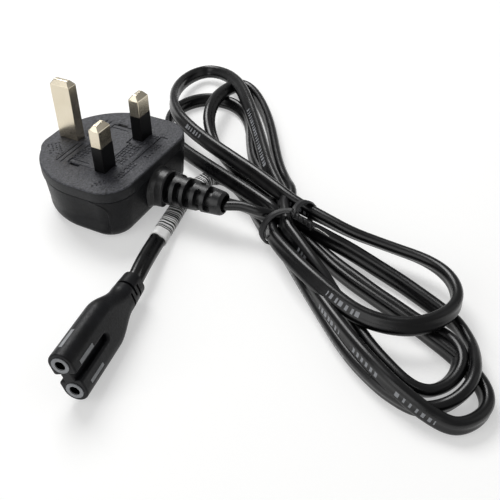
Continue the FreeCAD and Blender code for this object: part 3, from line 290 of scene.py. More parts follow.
# control points in metres, with the roll of the cord's wide axis above level, in degrees
cordRoute = (
    # out of the plug and into the tie
    (0.0000, -0.0495, 0.0104, 175), (0.0016, -0.0549, 0.0105, 140), (0.0015, -0.0587, 0.0104, 128),
    (0.0014, -0.0624, 0.0100, 115), (0.0026, -0.0651, 0.0090, 100),
    # first near loop
    (0.0047, -0.0725, 0.0086, 92), (0.0041, -0.0778, 0.0078, 82), (0.0035, -0.0831, 0.0070, 72),
    (0.0029, -0.0879, 0.0062, 66), (0.0027, -0.0925, 0.0052, 62), (0.0016, -0.0985, 0.0042, 60),
    (-0.0001, -0.1051, 0.0034, 60), (-0.0024, -0.1124, 0.0030, 62), (-0.0052, -0.1189, 0.0029, 66),
    (-0.0077, -0.1246, 0.0028, 70), (-0.0101, -0.1294, 0.0028, 76), (-0.0124, -0.1333, 0.0028, 100),
    (-0.0159, -0.1365, 0.0029, 108), (-0.0196, -0.1389, 0.0034, 110), (-0.0242, -0.1404, 0.0046, 104),
    (-0.0295, -0.1415, 0.0058, 96), (-0.0340, -0.1416, 0.0060, 86), (-0.0371, -0.1408, 0.0054, 76),
    (-0.0396, -0.1394, 0.0044, 70), (-0.0417, -0.1376, 0.0034, 72), (-0.0436, -0.1353, 0.0028, 73),
    (-0.0452, -0.1329, 0.0027, 74), (-0.0460, -0.1304, 0.0027, 74), (-0.0457, -0.1275, 0.0026, 74),
    (-0.0450, -0.1246, 0.0026, 73), (-0.0440, -0.1215, 0.0026, 73), (-0.0426, -0.1184, 0.0026, 73),
    (-0.0407, -0.1149, 0.0026, 73), (-0.0385, -0.1113, 0.0026, 73), (-0.0355, -0.1072, 0.0026, 73),
    (-0.0321, -0.1030, 0.0027, 73), (-0.0279, -0.0984, 0.0027, 73), (-0.0233, -0.0934, 0.0027, 73),
    (-0.0187, -0.0885, 0.0028, 74), (-0.0142, -0.0837, 0.0029, 75), (-0.0096, -0.0789, 0.0030, 77),
    (-0.0055, -0.0746, 0.0032, 80), (-0.0024, -0.0713, 0.0034, 84),
    # first far loop
    (0.0094, -0.0682, 0.0030, 90), (0.0207, -0.0658, 0.0064, 96), (0.0290, -0.0595, 0.0034, 98),
    (0.0343, -0.0550, 0.0032, 99), (0.0403, -0.0508, 0.0030, 99), (0.0469, -0.0466, 0.0029, 99),
    (0.0542, -0.0422, 0.0028, 99), (0.0620, -0.0373, 0.0028, 100), (0.0696, -0.0320, 0.0028, 102),
    (0.0770, -0.0261, 0.0028, 106), (0.0828, -0.0207, 0.0028, 114), (0.0877, -0.0150, 0.0028, 124),
    (0.0895, -0.0104, 0.0030, 128), (0.0858, -0.0086, 0.0042, 128), (0.0783, -0.0087, 0.0062, 124),
    (0.0700, -0.0096, 0.0078, 126), (0.0628, -0.0108, 0.0084, 128), (0.0566, -0.0125, 0.0082, 129),
    (0.0515, -0.0146, 0.0072, 130), (0.0473, -0.0173, 0.0060, 130), (0.0432, -0.0207, 0.0048, 129),
    (0.0384, -0.0255, 0.0038, 127), (0.0335, -0.0313, 0.0033, 123), (0.0293, -0.0370, 0.0032, 119),
    (0.0263, -0.0423, 0.0034, 115), (0.0238, -0.0477, 0.0036, 111), (0.0214, -0.0530, 0.0038, 107),
    (0.0191, -0.0580, 0.0040, 104), (0.0167, -0.0630, 0.0042, 102),
    # second near loop
    (0.0117, -0.0691, 0.0035, 100), (0.0079, -0.0737, 0.0030, 100), (0.0047, -0.0782, 0.0029, 100),
    (0.0017, -0.0827, 0.0029, 100), (-0.0008, -0.0872, 0.0029, 100), (-0.0032, -0.0916, 0.0029, 100),
    (-0.0051, -0.0957, 0.0029, 100), (-0.0068, -0.0997, 0.0029, 100), (-0.0086, -0.1036, 0.0029, 100),
    (-0.0103, -0.1074, 0.0029, 100), (-0.0118, -0.1111, 0.0029, 100), (-0.0131, -0.1146, 0.0029, 100),
    (-0.0146, -0.1182, 0.0029, 100), (-0.0160, -0.1216, 0.0029, 99), (-0.0171, -0.1252, 0.0030, 96),
    (-0.0182, -0.1287, 0.0032, 90), (-0.0198, -0.1319, 0.0036, 78), (-0.0220, -0.1345, 0.0040, 68),
    (-0.0247, -0.1364, 0.0040, 62), (-0.0280, -0.1373, 0.0038, 60), (-0.0314, -0.1371, 0.0034, 59),
    (-0.0345, -0.1361, 0.0030, 58), (-0.0372, -0.1343, 0.0028, 57), (-0.0392, -0.1321, 0.0028, 57),
    (-0.0398, -0.1295, 0.0028, 60), (-0.0395, -0.1270, 0.0029, 66), (-0.0385, -0.1242, 0.0030, 74),
    (-0.0368, -0.1211, 0.0030, 82), (-0.0349, -0.1179, 0.0030, 88), (-0.0326, -0.1145, 0.0030, 92),
    (-0.0301, -0.1112, 0.0031, 92), (-0.0270, -0.1077, 0.0033, 92), (-0.0237, -0.1038, 0.0036, 93),
    (-0.0204, -0.0997, 0.0042, 95), (-0.0176, -0.0957, 0.0054, 98), (-0.0149, -0.0918, 0.0070, 102),
    (-0.0120, -0.0873, 0.0082, 105), (-0.0084, -0.0824, 0.0090, 107), (-0.0046, -0.0774, 0.0096, 108),
    (-0.0013, -0.0731, 0.0100, 109),
    # second far loop
    (0.0080, -0.0677, 0.0098, 110), (0.0150, -0.0645, 0.0084, 116), (0.0205, -0.0596, 0.0080, 124),
    (0.0254, -0.0551, 0.0080, 127), (0.0310, -0.0506, 0.0080, 128), (0.0377, -0.0459, 0.0080, 128),
    (0.0450, -0.0408, 0.0080, 128), (0.0520, -0.0359, 0.0080, 128), (0.0586, -0.0310, 0.0080, 130),
    (0.0648, -0.0263, 0.0082, 134), (0.0709, -0.0214, 0.0084, 140), (0.0771, -0.0162, 0.0084, 144),
    (0.0832, -0.0103, 0.0078, 142), (0.0887, -0.0036, 0.0066, 138), (0.0922, 0.0029, 0.0052, 134),
    (0.0928, 0.0083, 0.0044, 130), (0.0898, 0.0118, 0.0042, 126), (0.0838, 0.0132, 0.0046, 120),
    (0.0759, 0.0128, 0.0054, 110), (0.0666, 0.0102, 0.0066, 98), (0.0577, 0.0059, 0.0078, 84),
    (0.0503, 0.0006, 0.0086, 70), (0.0446, -0.0051, 0.0090, 58), (0.0403, -0.0111, 0.0092, 50),
    (0.0364, -0.0174, 0.0094, 46), (0.0329, -0.0241, 0.0096, 44), (0.0297, -0.0306, 0.0098, 44),
    (0.0267, -0.0371, 0.0100, 46), (0.0238, -0.0433, 0.0102, 48), (0.0210, -0.0496, 0.0104, 50),
    (0.0178, -0.0559, 0.0106, 54), (0.0146, -0.0620, 0.0108, 60),
    # third near loop, on top
    (0.0122, -0.0688, 0.0100, 86), (0.0108, -0.0756, 0.0092, 98), (0.0100, -0.0799, 0.0090, 108),
    (0.0090, -0.0845, 0.0088, 114), (0.0080, -0.0895, 0.0084, 120), (0.0075, -0.0945, 0.0080, 126),
    (0.0075, -0.0996, 0.0076, 129), (0.0073, -0.1047, 0.0074, 130), (0.0069, -0.1098, 0.0074, 130),
    (0.0063, -0.1144, 0.0076, 127), (0.0051, -0.1189, 0.0078, 120), (0.0031, -0.1230, 0.0080, 110),
    (0.0002, -0.1265, 0.0082, 102), (-0.0035, -0.1290, 0.0084, 94), (-0.0076, -0.1305, 0.0086, 92),
    (-0.0118, -0.1307, 0.0088, 96), (-0.0159, -0.1296, 0.0090, 106), (-0.0194, -0.1276, 0.0090, 116),
    (-0.0223, -0.1249, 0.0088, 124), (-0.0244, -0.1219, 0.0086, 128), (-0.0256, -0.1186, 0.0084, 130),
    (-0.0263, -0.1151, 0.0082, 130), (-0.0266, -0.1114, 0.0082, 130), (-0.0262, -0.1076, 0.0082, 130),
    (-0.0254, -0.1040, 0.0084, 130), (-0.0240, -0.1003, 0.0086, 132), (-0.0222, -0.0962, 0.0088, 134),
    (-0.0201, -0.0920, 0.0090, 134), (-0.0177, -0.0876, 0.0090, 132), (-0.0147, -0.0830, 0.0086, 128),
    (-0.0112, -0.0783, 0.0080, 122), (-0.0073, -0.0735, 0.0072, 114), (-0.0036, -0.0695, 0.0066, 106),
    # third far loop
    (0.0028, -0.0657, 0.0060, 98), (0.0218, -0.0587, 0.0040, 96), (0.0271, -0.0528, 0.0034, 98),
    (0.0324, -0.0469, 0.0030, 100), (0.0380, -0.0418, 0.0028, 102), (0.0445, -0.0375, 0.0028, 104),
    (0.0516, -0.0335, 0.0028, 106), (0.0590, -0.0296, 0.0028, 110), (0.0656, -0.0248, 0.0028, 116),
    (0.0705, -0.0193, 0.0028, 122), (0.0730, -0.0136, 0.0028, 126), (0.0734, -0.0083, 0.0028, 128),
    (0.0724, -0.0034, 0.0028, 126), (0.0697, 0.0005, 0.0028, 122), (0.0655, 0.0033, 0.0028, 114),
    (0.0603, 0.0048, 0.0028, 104), (0.0541, 0.0047, 0.0028, 92), (0.0474, 0.0025, 0.0028, 80),
    (0.0414, -0.0016, 0.0029, 68), (0.0360, -0.0072, 0.0032, 58), (0.0319, -0.0134, 0.0036, 52),
    (0.0286, -0.0197, 0.0042, 50), (0.0253, -0.0262, 0.0050, 48), (0.0219, -0.0328, 0.0058, 48),
    (0.0186, -0.0395, 0.0066, 50), (0.0153, -0.0461, 0.0074, 52), (0.0122, -0.0525, 0.0080, 56),
    (0.0092, -0.0586, 0.0086, 64), (0.0068, -0.0638, 0.0088, 74),
    # last near loop, the outermost
    (0.0053, -0.0677, 0.0070, 86), (0.0060, -0.0713, 0.0056, 92), (0.0039, -0.0756, 0.0044, 97),
    (0.0016, -0.0798, 0.0036, 100), (-0.0008, -0.0841, 0.0032, 100), (-0.0033, -0.0883, 0.0030, 100),
    (-0.0057, -0.0923, 0.0029, 100), (-0.0078, -0.0965, 0.0029, 100), (-0.0096, -0.1004, 0.0029, 100),
    (-0.0111, -0.1042, 0.0029, 100), (-0.0126, -0.1079, 0.0029, 100), (-0.0140, -0.1115, 0.0029, 100),
    (-0.0157, -0.1158, 0.0029, 100), (-0.0174, -0.1199, 0.0029, 100), (-0.0190, -0.1240, 0.0028, 99),
    (-0.0209, -0.1280, 0.0028, 96), (-0.0227, -0.1320, 0.0028, 92), (-0.0246, -0.1355, 0.0028, 88),
    (-0.0265, -0.1388, 0.0028, 84), (-0.0287, -0.1418, 0.0028, 81), (-0.0311, -0.1442, 0.0028, 80),
    (-0.0338, -0.1460, 0.0028, 80), (-0.0371, -0.1469, 0.0029, 82), (-0.0403, -0.1465, 0.0029, 84),
    (-0.0433, -0.1451, 0.0029, 87), (-0.0457, -0.1432, 0.0029, 90), (-0.0472, -0.1409, 0.0030, 92),
    (-0.0476, -0.1383, 0.0033, 94), (-0.0474, -0.1355, 0.0038, 96), (-0.0471, -0.1325, 0.0046, 97),
    (-0.0465, -0.1295, 0.0054, 98), (-0.0455, -0.1263, 0.0060, 98), (-0.0441, -0.1229, 0.0064, 98),
    (-0.0423, -0.1195, 0.0066, 98), (-0.0401, -0.1158, 0.0068, 98), (-0.0374, -0.1118, 0.0068, 98),
    (-0.0343, -0.1076, 0.0066, 98), (-0.0307, -0.1031, 0.0064, 98), (-0.0269, -0.0985, 0.0062, 98),
    (-0.0228, -0.0939, 0.0058, 98), (-0.0185, -0.0891, 0.0052, 98), (-0.0139, -0.0843, 0.0044, 98),
    (-0.0094, -0.0796, 0.0038, 98), (-0.0052, -0.0751, 0.0034, 98),
    # under the relief and out to the connector
    (0.0008, -0.0682, 0.0030, 96), (0.0019, -0.0645, 0.0029, 92), (0.0059, -0.0598, 0.0029, 84),
    (0.0103, -0.0551, 0.0028, 70), (0.0150, -0.0502, 0.0026, 52), (0.0196, -0.0448, 0.0023, 30),
    (0.0227, -0.0393, 0.0020, 10), (0.0234, -0.0344, 0.0019, 0), (0.0211, -0.0311, 0.0019, 0),
    (0.0161, -0.0297, 0.0019, 0), (0.0095, -0.0297, 0.0019, 0), (0.0020, -0.0305, 0.0020, -4),
    (-0.0057, -0.0321, 0.0024, -12), (-0.0137, -0.0339, 0.0032, -24), (-0.0217, -0.0359, 0.0044, -36),
    (-0.0296, -0.0380, 0.0056, -41), (-0.0363, -0.0399, 0.0063, -54),
    (-0.0420, -0.04145, 0.0062, -66),
)


def splinePoints(points):
    # the points that Blender gives along a smooth curve through the control points
    curve = bpy.data.curves.new("ruler", "CURVE")
    curve.dimensions = "3D"
    curve.resolution_u = cordSpec["stepsPerPoint"]
    spline = curve.splines.new("NURBS")
    spline.points.add(len(points) - 1)
    for point, place in zip(spline.points, points):
        point.co = (*place, 1)
    spline.order_u = 3
    spline.use_endpoint_u = True
    holder = bpy.data.objects.new("ruler", curve)
    mesh = bpy.data.meshes.new_from_object(holder)
    found = [v.co.copy() for v in mesh.vertices]
    bpy.data.meshes.remove(mesh)
    bpy.data.objects.remove(holder)
    bpy.data.curves.remove(curve)
    return found


def wideAxes(route):
    # direction of the cord's wide way at each control point, from its roll
    axes = []
    for i, (x, y, z, roll) in enumerate(route):
        before, after = Vector(route[max(i - 1, 0)][:3]), Vector(route[min(i + 1, len(route) - 1)][:3])
        run = (after - before).normalized()
        left = Vector((0, 0, 1)).cross(run).normalized()
        axes.append(left * math.cos(math.radians(roll)) + run.cross(left) * math.sin(math.radians(roll)))
    return axes


def cordSection(grow=0.0):
    # the flat twin profile as (wide, thin) pairs all the way round; a sleeve on it bridges the groove
    groove = 0.0 if grow else cordSpec["groove"]
    half, thin = cordSpec["width"] / 2 + grow, cordSpec["thickness"] / 2 + grow
    straight = half - thin
    ring = []
    for i in range(cordSpec["around"]):
        angle = 2 * math.pi * i / cordSpec["around"]
        wide = half * math.cos(angle)
        if abs(wide) > straight:
            rise = math.sqrt(max(thin ** 2 - (abs(wide) - straight) ** 2, 0))
        else:
            rise = thin - groove * (1 + math.cos(math.pi * wide / straight)) / 2
        ring.append((wide, math.copysign(rise, math.sin(angle)) if rise else 0.0))
    return ring


def tubeMesh(name, centres, wides, section):
    # rings of the section along the centres, with a ruler of metres along and around as its UV map
    mesh = bmesh.new()
    ruler = mesh.loops.layers.uv.new("cordRuler")
    rings, lengths = [], [0.0]
    for i, centre in enumerate(centres):
        run = (centres[min(i + 1, len(centres) - 1)] - centres[max(i - 1, 0)]).normalized()
        wide = (wides[i] - run * wides[i].dot(run)).normalized()
        thin = run.cross(wide)
        rings.append([mesh.verts.new(centre + wide * w + thin * t) for w, t in section])
        if i:
            lengths.append(lengths[-1] + (centre - centres[i - 1]).length)
    count = len(section)
    for i in range(len(rings) - 1):
        for j in range(count):
            k = (j + 1) % count
            face = mesh.faces.new((rings[i][j], rings[i][k], rings[i + 1][k], rings[i + 1][j]))
            face.smooth = True
            for loop, (row, column) in zip(face.loops, ((i, j), (i, j + 1), (i + 1, j + 1), (i + 1, j))):
                loop[ruler].uv = (lengths[row], column / count)
    for ring in (rings[0][::-1], rings[-1]):
        mesh.faces.new(ring)
    bmesh.ops.recalc_face_normals(mesh, faces=mesh.faces)
    data = bpy.data.meshes.new(name)
    mesh.to_mesh(data)
    mesh.free()
    return data


def addPiece(name, data, material):
    piece = bpy.data.objects.new(name, data)
    bpy.context.collection.objects.link(piece)
    data.materials.append(material)
    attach(piece, "lead")
    return piece


def runLength(points):
    return sum((b - a).length for a, b in zip(points, points[1:]))


def addCord():
    centres = splinePoints([Vector(p[:3]) for p in cordRoute])
    rail = splinePoints([Vector(p[:3]) + axis for p, axis in zip(cordRoute, wideAxes(cordRoute))])
    wides = [(r - c).normalized() for r, c in zip(rail, centres)]
    data = tubeMesh("leadCord", centres, wides, cordSection())
    cord = addPiece("leadCord", data, cordPvc(runLength(centres)))
    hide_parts("cord_plug_stretch", "cord_hank", "cord_connector_stretch")
    return cord, centres, wides


cord, cordCentres, cordWides = addCord()


# the sleeve is measured back along the cord from the connector
sleeveSpec = {"fromConnector": 23.5 * mm, "length": 46 * mm, "grow": 0.3 * mm}


def addSleeve():
    left, first, last = 0.0, None, None
    for i in range(len(cordCentres) - 1, 0, -1):
        left += (cordCentres[i] - cordCentres[i - 1]).length
        if last is None and left >= sleeveSpec["fromConnector"]:
            last = i
        if left >= sleeveSpec["fromConnector"] + sleeveSpec["length"]:
            first = i
            break
    section = cordSection(sleeveSpec["grow"])
    data = tubeMesh("cordSleeve", cordCentres[first:last], cordWides[first:last], section)
    sleeve = addPiece("cordSleeve", data, barredSleeve())
    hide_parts("cord_label")
    return sleeve


# the tie's points are (across, up, along) the bundle in millimetres, from where it is tied
tieSpec = {"place": (7.5 * mm, -67.5 * mm), "heading": 69.0, "width": 2.3 * mm,
           "edge": 0.26 * mm, "core": 0.52 * mm, "coreSpread": 0.34, "edgeFloor": 0.35,
           "around": 20, "tailWidth": 1.9 * mm, "tailEdge": 0.5 * mm, "twistMm": 3.4,
           "wireRadius": 0.2 * mm, "wireSides": 10}
# from the twist over the left half, under the bundle, and back over the right half into the twist
tieLoop = ((-4.1, 14.8, -11.0), (-3.1, 14.6, -8.7), (-3.6, 14.4, -6.9), (-5.3, 14.0, -5.0),
           (-8.0, 13.0, -3.7), (-10.0, 11.0, -2.9), (-10.9, 8.5, -2.2), (-11.1, 6.0, -1.8),
           (-10.4, 3.2, -2.2), (-9.2, 1.5, -3.2), (-6.5, 0.9, -3.6), (-1.5, 0.8, -4.0),
           (3.5, 0.8, -4.6), (7.2, 1.5, -5.0), (9.4, 4.5, -5.3), (9.9, 7.4, -5.6), (9.5, 9.0, -5.8),
           (8.1, 10.8, -6.5), (6.5, 12.4, -7.0), (4.8, 13.6, -6.3), (2.2, 14.2, -6.3),
           (-1.0, 14.6, -7.4), (-2.8, 14.4, -8.6), (-4.2, 14.4, -10.9))
tieTail = ((-3.3, 15.0, -9.0), (-4.5, 14.9, -11.8), (-4.2, 14.5, -13.3), (-3.4, 13.9, -14.8),
           (-3.1, 13.3, -16.5), (-3.3, 12.9, -17.4))
tieWire = ((-3.1, 13.3, -17.0), (-2.5, 13.3, -18.3), (-2.3, 13.1, -19.9), (-1.9, 12.8, -21.3),
           (-1.9, 12.4, -23.0))


def tieAxes():
    heading = math.radians(tieSpec["heading"])
    along = Vector((math.cos(heading), math.sin(heading), 0))
    return Vector((along.y, -along.x, 0)), along


def tiePoints(points):
    across, along = tieAxes()
    origin = Vector((*tieSpec["place"], 0))
    placed = [origin + across * a * mm + Vector((0, 0, up * mm)) + along * s * mm for a, up, s in points]
    return splinePoints(placed)


def ribbonSection(width, edge, core):
    # flat ribbon, thin at its edges and thicker over the wire in its middle
    ring = []
    for i in range(tieSpec["around"]):
        angle = 2 * math.pi * i / tieSpec["around"]
        swell = edge + (core - edge) * math.exp(-(math.cos(angle) / tieSpec["coreSpread"]) ** 2)
        height = swell * math.sin(angle) / max(abs(math.sin(angle)), tieSpec["edgeFloor"])
        ring.append((width / 2 * math.cos(angle), height))
    return ring


def twistedWides(points):
    # the two ribbon ends go round each other, so the tail's wide way turns along it
    across, _ = tieAxes()
    wides, gone = [], 0.0
    for i, point in enumerate(points):
        gone += (point - points[max(i - 1, 0)]).length / mm
        angle = 2 * math.pi * gone / tieSpec["twistMm"]
        wides.append(across * math.cos(angle) + Vector((0, 0, 1)) * math.sin(angle))
    return wides


def joinMeshes(name, parts):
    mesh = bmesh.new()
    for part in parts:
        mesh.from_mesh(part)
        bpy.data.meshes.remove(part)
    data = bpy.data.meshes.new(name)
    mesh.to_mesh(data)
    mesh.free()
    return data


def addTie():
    _, along = tieAxes()
    ribbon = ribbonSection(tieSpec["width"], tieSpec["edge"], tieSpec["core"])
    tail = ribbonSection(tieSpec["tailWidth"], tieSpec["tailEdge"], tieSpec["tailEdge"])
    points = tiePoints(tieLoop)
    parts = [tubeMesh("ribbon", points, [along] * len(points), ribbon)]
    points = tiePoints(tieTail)
    parts.append(tubeMesh("tail", points, twistedWides(points), tail))
    tie = addPiece("hankTie", joinMeshes("hankTie", parts), materials["coatedWire"])
    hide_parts("hank_tie")
    points = tiePoints(tieWire)
    count, radius = tieSpec["wireSides"], tieSpec["wireRadius"]
    turns = [2 * math.pi * i / count for i in range(count)]
    section = [(radius * math.cos(turn), radius * math.sin(turn)) for turn in turns]
    data = tubeMesh("tieWireEnd", points, [along] * len(points), section)
    wire = addPiece("tieWireEnd", data, materials["platedFuseCap"])
    return [tie, wire]


addSleeve()
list(addTie())
print("sleeve and tie on the cord")


# plug body: a round-nosed outline with its own wall and well, in place of the solids' straight slants
bodySpec = {"noseRadius": 24.95 * mm, "noseCentre": -6.1 * mm, "cordEdge": -24.2 * mm,
            "cordCorner": 10 * mm, "faceTop": 20 * mm, "rimBottom": 16 * mm, "rimRound": 0.8 * mm,
            "rimInner": 4.1 * mm, "draft": 0.95 * mm, "backRound": 4.2 * mm, "backHeight": 5.2 * mm,
            "wall": 3.3 * mm, "wellFloor": 7 * mm, "rimChamfer": 0.3 * mm, "rimSteps": 6,
            "seam": ((0, 0.16 * mm), (0.12 * mm, 0.08 * mm), (0.2 * mm, 0.06 * mm)),  # (drop, inset)
            "nosePoints": 60, "sidePoints": 40, "cornerPoints": 80, "edgePoints": 16,
            "wallRows": 56, "rowSpread": 1.25, "roundRows": 12}
recessSpec = {"end": -19.6 * mm, "crown": 5.6 * mm, "crownFrom": 10 * mm, "top": 15.75 * mm,
              "edge": 0.5 * mm, "depth": 0.3 * mm, "deeper": 1.7 * mm, "deeperFrom": 3 * mm,
              "deeperOver": 16 * mm, "fadeFrom": 2.2 * mm, "fadeOver": 4.5 * mm, "bead": 0.22 * mm}


def smoothStep(value):
    value = min(max(value, 0.0), 1.0)
    return value * value * (3 - 2 * value)


def halfOutline(inset):
    # from the middle of the nose, round the left side, to the middle of the cord edge
    radius, corner = bodySpec["noseRadius"] - inset, bodySpec["cordCorner"] - inset
    centre, edge = bodySpec["noseCentre"], bodySpec["cordEdge"] + inset
    points = []
    for i in range(bodySpec["nosePoints"]):
        angle = math.pi / 2 * (1 + i / bodySpec["nosePoints"])
        points.append((radius * math.cos(angle), centre + radius * math.sin(angle)))
    for i in range(bodySpec["sidePoints"]):
        points.append((-radius, centre + (edge + corner - centre) * i / bodySpec["sidePoints"]))
    for i in range(bodySpec["cornerPoints"]):
        angle = math.pi * (1 + i / bodySpec["cornerPoints"] / 2)
        points.append((-radius + corner + corner * math.cos(angle),
                       edge + corner + corner * math.sin(angle)))
    for i in range(bodySpec["edgePoints"] + 1):
        points.append(((corner - radius) * (1 - i / bodySpec["edgePoints"]), edge))
    return points


def plugOutline(inset):
    half = halfOutline(inset)
    return half + [(-x, y) for x, y in half[-2:0:-1]]


def recessDepth(y, z):
    # how far the finger recess goes in at a point of the wall: crisp under the rim and at its end
    spec = recessSpec
    rise = min(max((z - spec["crownFrom"]) / (spec["top"] - spec["crownFrom"]), 0.0), 1.0)
    end = spec["end"] + spec["crown"] * (1 - math.sqrt(1 - rise * rise))
    inside = smoothStep((y - end) / spec["edge"]) * smoothStep((spec["top"] - z) / spec["edge"])
    depth = spec["depth"] + spec["deeper"] * smoothStep((spec["deeperFrom"] - y) / spec["deeperOver"])
    bead = spec["bead"] * math.exp(-((y - end + spec["edge"] / 2) / spec["edge"]) ** 2)
    return (inside * depth - bead) * smoothStep((z - spec["fadeFrom"]) / spec["fadeOver"])


def wallRows():
    # (height, inset) down the wall, then round the soft edge to the back
    spec = bodySpec
    low = spec["backHeight"]
    rows = [(spec["rimBottom"] - drop, inset) for drop, inset in spec["seam"]]
    first, flush = rows.pop()
    for i in range(1, spec["wallRows"] + 1):
        t = (i / spec["wallRows"]) ** spec["rowSpread"]
        rows.append((first + (low - first) * t, flush + spec["draft"] * t))
    foot = rows[-1][1]
    for i in range(1, spec["roundRows"] + 1):
        angle = math.pi / 2 * i / spec["roundRows"]
        rows.append((low * (1 - math.sin(angle)), foot + spec["backRound"] * (1 - math.cos(angle))))
    return rows


def skinRings(mesh, rings):
    # quads between rings of equal count, in order
    count = len(rings[0])
    for lower, upper in zip(rings, rings[1:]):
        for i in range(count):
            j = (i + 1) % count
            mesh.faces.new((lower[i], lower[j], upper[j], upper[i]))


def ringAt(mesh, inset, z):
    return [mesh.verts.new((x, y, z)) for x, y in plugOutline(inset)]


def finishMesh(name, mesh, sharpAngle=32):
    bmesh.ops.recalc_face_normals(mesh, faces=mesh.faces)
    for face in mesh.faces:
        face.smooth = True
    data = bpy.data.meshes.new(name)
    mesh.to_mesh(data)
    mesh.free()
    data.set_sharp_from_angle(angle=math.radians(sharpAngle))
    return data


def addPlugBody():
    spec = bodySpec
    mesh = bmesh.new()
    outline, inner = plugOutline(0), plugOutline(1 * mm)
    inward = [Vector((b[0] - a[0], b[1] - a[1])) / mm for a, b in zip(outline, inner)]
    rings = []
    for z, inset in wallRows():
        ring = []
        for (x, y), way in zip(outline, inward):
            place = Vector((x, y)) + way * (inset + recessDepth(y, z))
            ring.append(mesh.verts.new((place.x, place.y, z)))
        rings.append(ring)
    mesh.faces.new(rings[-1])
    wellTop = ringAt(mesh, spec["wall"], spec["rimBottom"])
    wellBottom = ringAt(mesh, spec["wall"], spec["wellFloor"])
    skinRings(mesh, [wellBottom, wellTop] + rings)
    mesh.faces.new(wellBottom)
    body = addPiece("plugBody", finishMesh("plugBody", mesh), materials["softPvc"])
    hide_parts("plug_cover")


# how far a facet looks up before it is shaded flat, and before it is grained
faceSpec = {"level": 0.98, "grained": 0.6, "sharp": 32}


def addPlugFace():
    # the solids' own face keeps its wells and grooves, and a rim with the round outline is joined to it
    spec = bodySpec
    top, bottom, turn, chamfer = spec["faceTop"], spec["rimBottom"], spec["rimRound"], spec["rimChamfer"]
    mesh = bmesh.new()
    rings = [ringAt(mesh, spec["rimInner"], bottom), ringAt(mesh, chamfer, bottom),
             ringAt(mesh, 0, bottom + chamfer)]
    for i in range(spec["rimSteps"] + 1):
        angle = math.pi / 2 * i / spec["rimSteps"]
        rings.append(ringAt(mesh, turn * (1 - math.cos(angle)), top - turn * (1 - math.sin(angle))))
    rings.append(ringAt(mesh, spec["rimInner"], top))
    skinRings(mesh, rings + rings[:1])
    rim = bpy.data.objects.new("rim", finishMesh("rim", mesh))
    plate = bpy.data.objects.new("plate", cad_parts["plug_face"].data.copy())
    welded = bmesh.new()
    welded.from_mesh(plate.data)
    bmesh.ops.remove_doubles(welded, verts=welded.verts, dist=weld)
    welded.to_mesh(plate.data)
    welded.free()
    for piece in (rim, plate):
        bpy.context.collection.objects.link(piece)
    join = plate.modifiers.new("join", "BOOLEAN")
    join.operation, join.solver, join.object = "UNION", "EXACT", rim
    data = bpy.data.meshes.new_from_object(plate.evaluated_get(bpy.context.evaluated_depsgraph_get()))
    for piece in (rim, plate):
        bpy.data.objects.remove(piece)
    data.materials.clear()
    for polygon in data.polygons:
        polygon.use_smooth = abs(polygon.normal.z) < faceSpec["level"]
        polygon.material_index = int(abs(polygon.normal.z) < faceSpec["grained"])
    data.set_sharp_from_angle(angle=math.radians(faceSpec["sharp"]))
    face = addPiece("plugFace", data, materials["grainedNylon"])
    data.materials.append(materials["smoothNylon"])
    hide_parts("plug_face")
    print("plug face", len(data.polygons), "faces")


# rows of small raised bars on the face: (x, y, heading, rows, bars) in millimetres and degrees
markRows = ((-9.2, 11.5, 47, 4, 6), (-19.6, -14.2, 140, 2, 4), (-16.6, -16.6, 140, 2, 5),
            (-1.2, -12.6, 0, 4, 9), (-9.2, -18.4, 0, 2, 7), (4.6, -19.6, 0, 2, 7), (-6.6, 0.8, 0, 3, 7),
            (10.4, -15.8, 0, 3, 5))
markSpec = {"bar": (0.95, 0.4, 0.24), "pitch": (1.35, 1.25), "skip": 0.18,
            "lengths": (0.5, 1.0), "depths": (0.8, 2.0)}


def addMarks():
    random = Random(8)
    mesh = bmesh.new()
    width, depth, proud = markSpec["bar"]
    sidePitch, upPitch = markSpec["pitch"]
    for x, y, heading, rows, bars in markRows:
        origin = Matrix.Translation((x * mm, y * mm, bodySpec["faceTop"]))
        turned = origin @ Matrix.Rotation(math.radians(heading), 4, "Z")
        for row in range(rows):
            for bar in range(bars):
                if random.random() < markSpec["skip"]:
                    continue
                side, up = (bar - (bars - 1) / 2) * sidePitch, (row - (rows - 1) / 2) * upPitch
                length = width * random.uniform(*markSpec["lengths"])
                across = depth * random.uniform(*markSpec["depths"])
                size = Matrix.Diagonal((length * mm, across * mm, 2 * proud * mm, 1))
                middle = Matrix.Translation((side * mm, up * mm, 0))
                bmesh.ops.create_cube(mesh, size=1.0, matrix=turned @ middle @ size)
    addPiece("faceMarks", finishMesh("faceMarks", mesh), materials["grainedNylon"])


# the relief's outline as (mm from the frame's middle toward the cord, radius), with slots between bridges;
# the collar before the first slot is a half round above and a square block below
reliefSpec = {"height": 10.4 * mm, "around": 104, "step": 0.15 * mm, "core": 2.9 * mm,
              "mouth": 2.95 * mm, "mouthEnd": 48.3, "slots": (30.2, 33.9, 37.6, 41.4, 45.2),
              "slotWidth": 2.25, "bridge": 17, "bridges": (222, 97), "collarEnd": 28.8,
              "squareness": 7, "blockDepth": 0.86}
reliefOutline = ((23.6, 7.2), (24.6, 6.6), (26.0, 6.25), (28.5, 6.1), (28.95, 5.8), (29.1, 5.8),
                 (29.3, 5.95), (47.6, 4.3), (49.1, 4.15), (49.8, 3.8), (50.1, 3.4))


def reliefRadius(place):
    for (first, before), (last, after) in zip(reliefOutline, reliefOutline[1:]):
        if place <= last:
            return before + (after - before) * (place - first) / (last - first)
    return reliefOutline[-1][1]


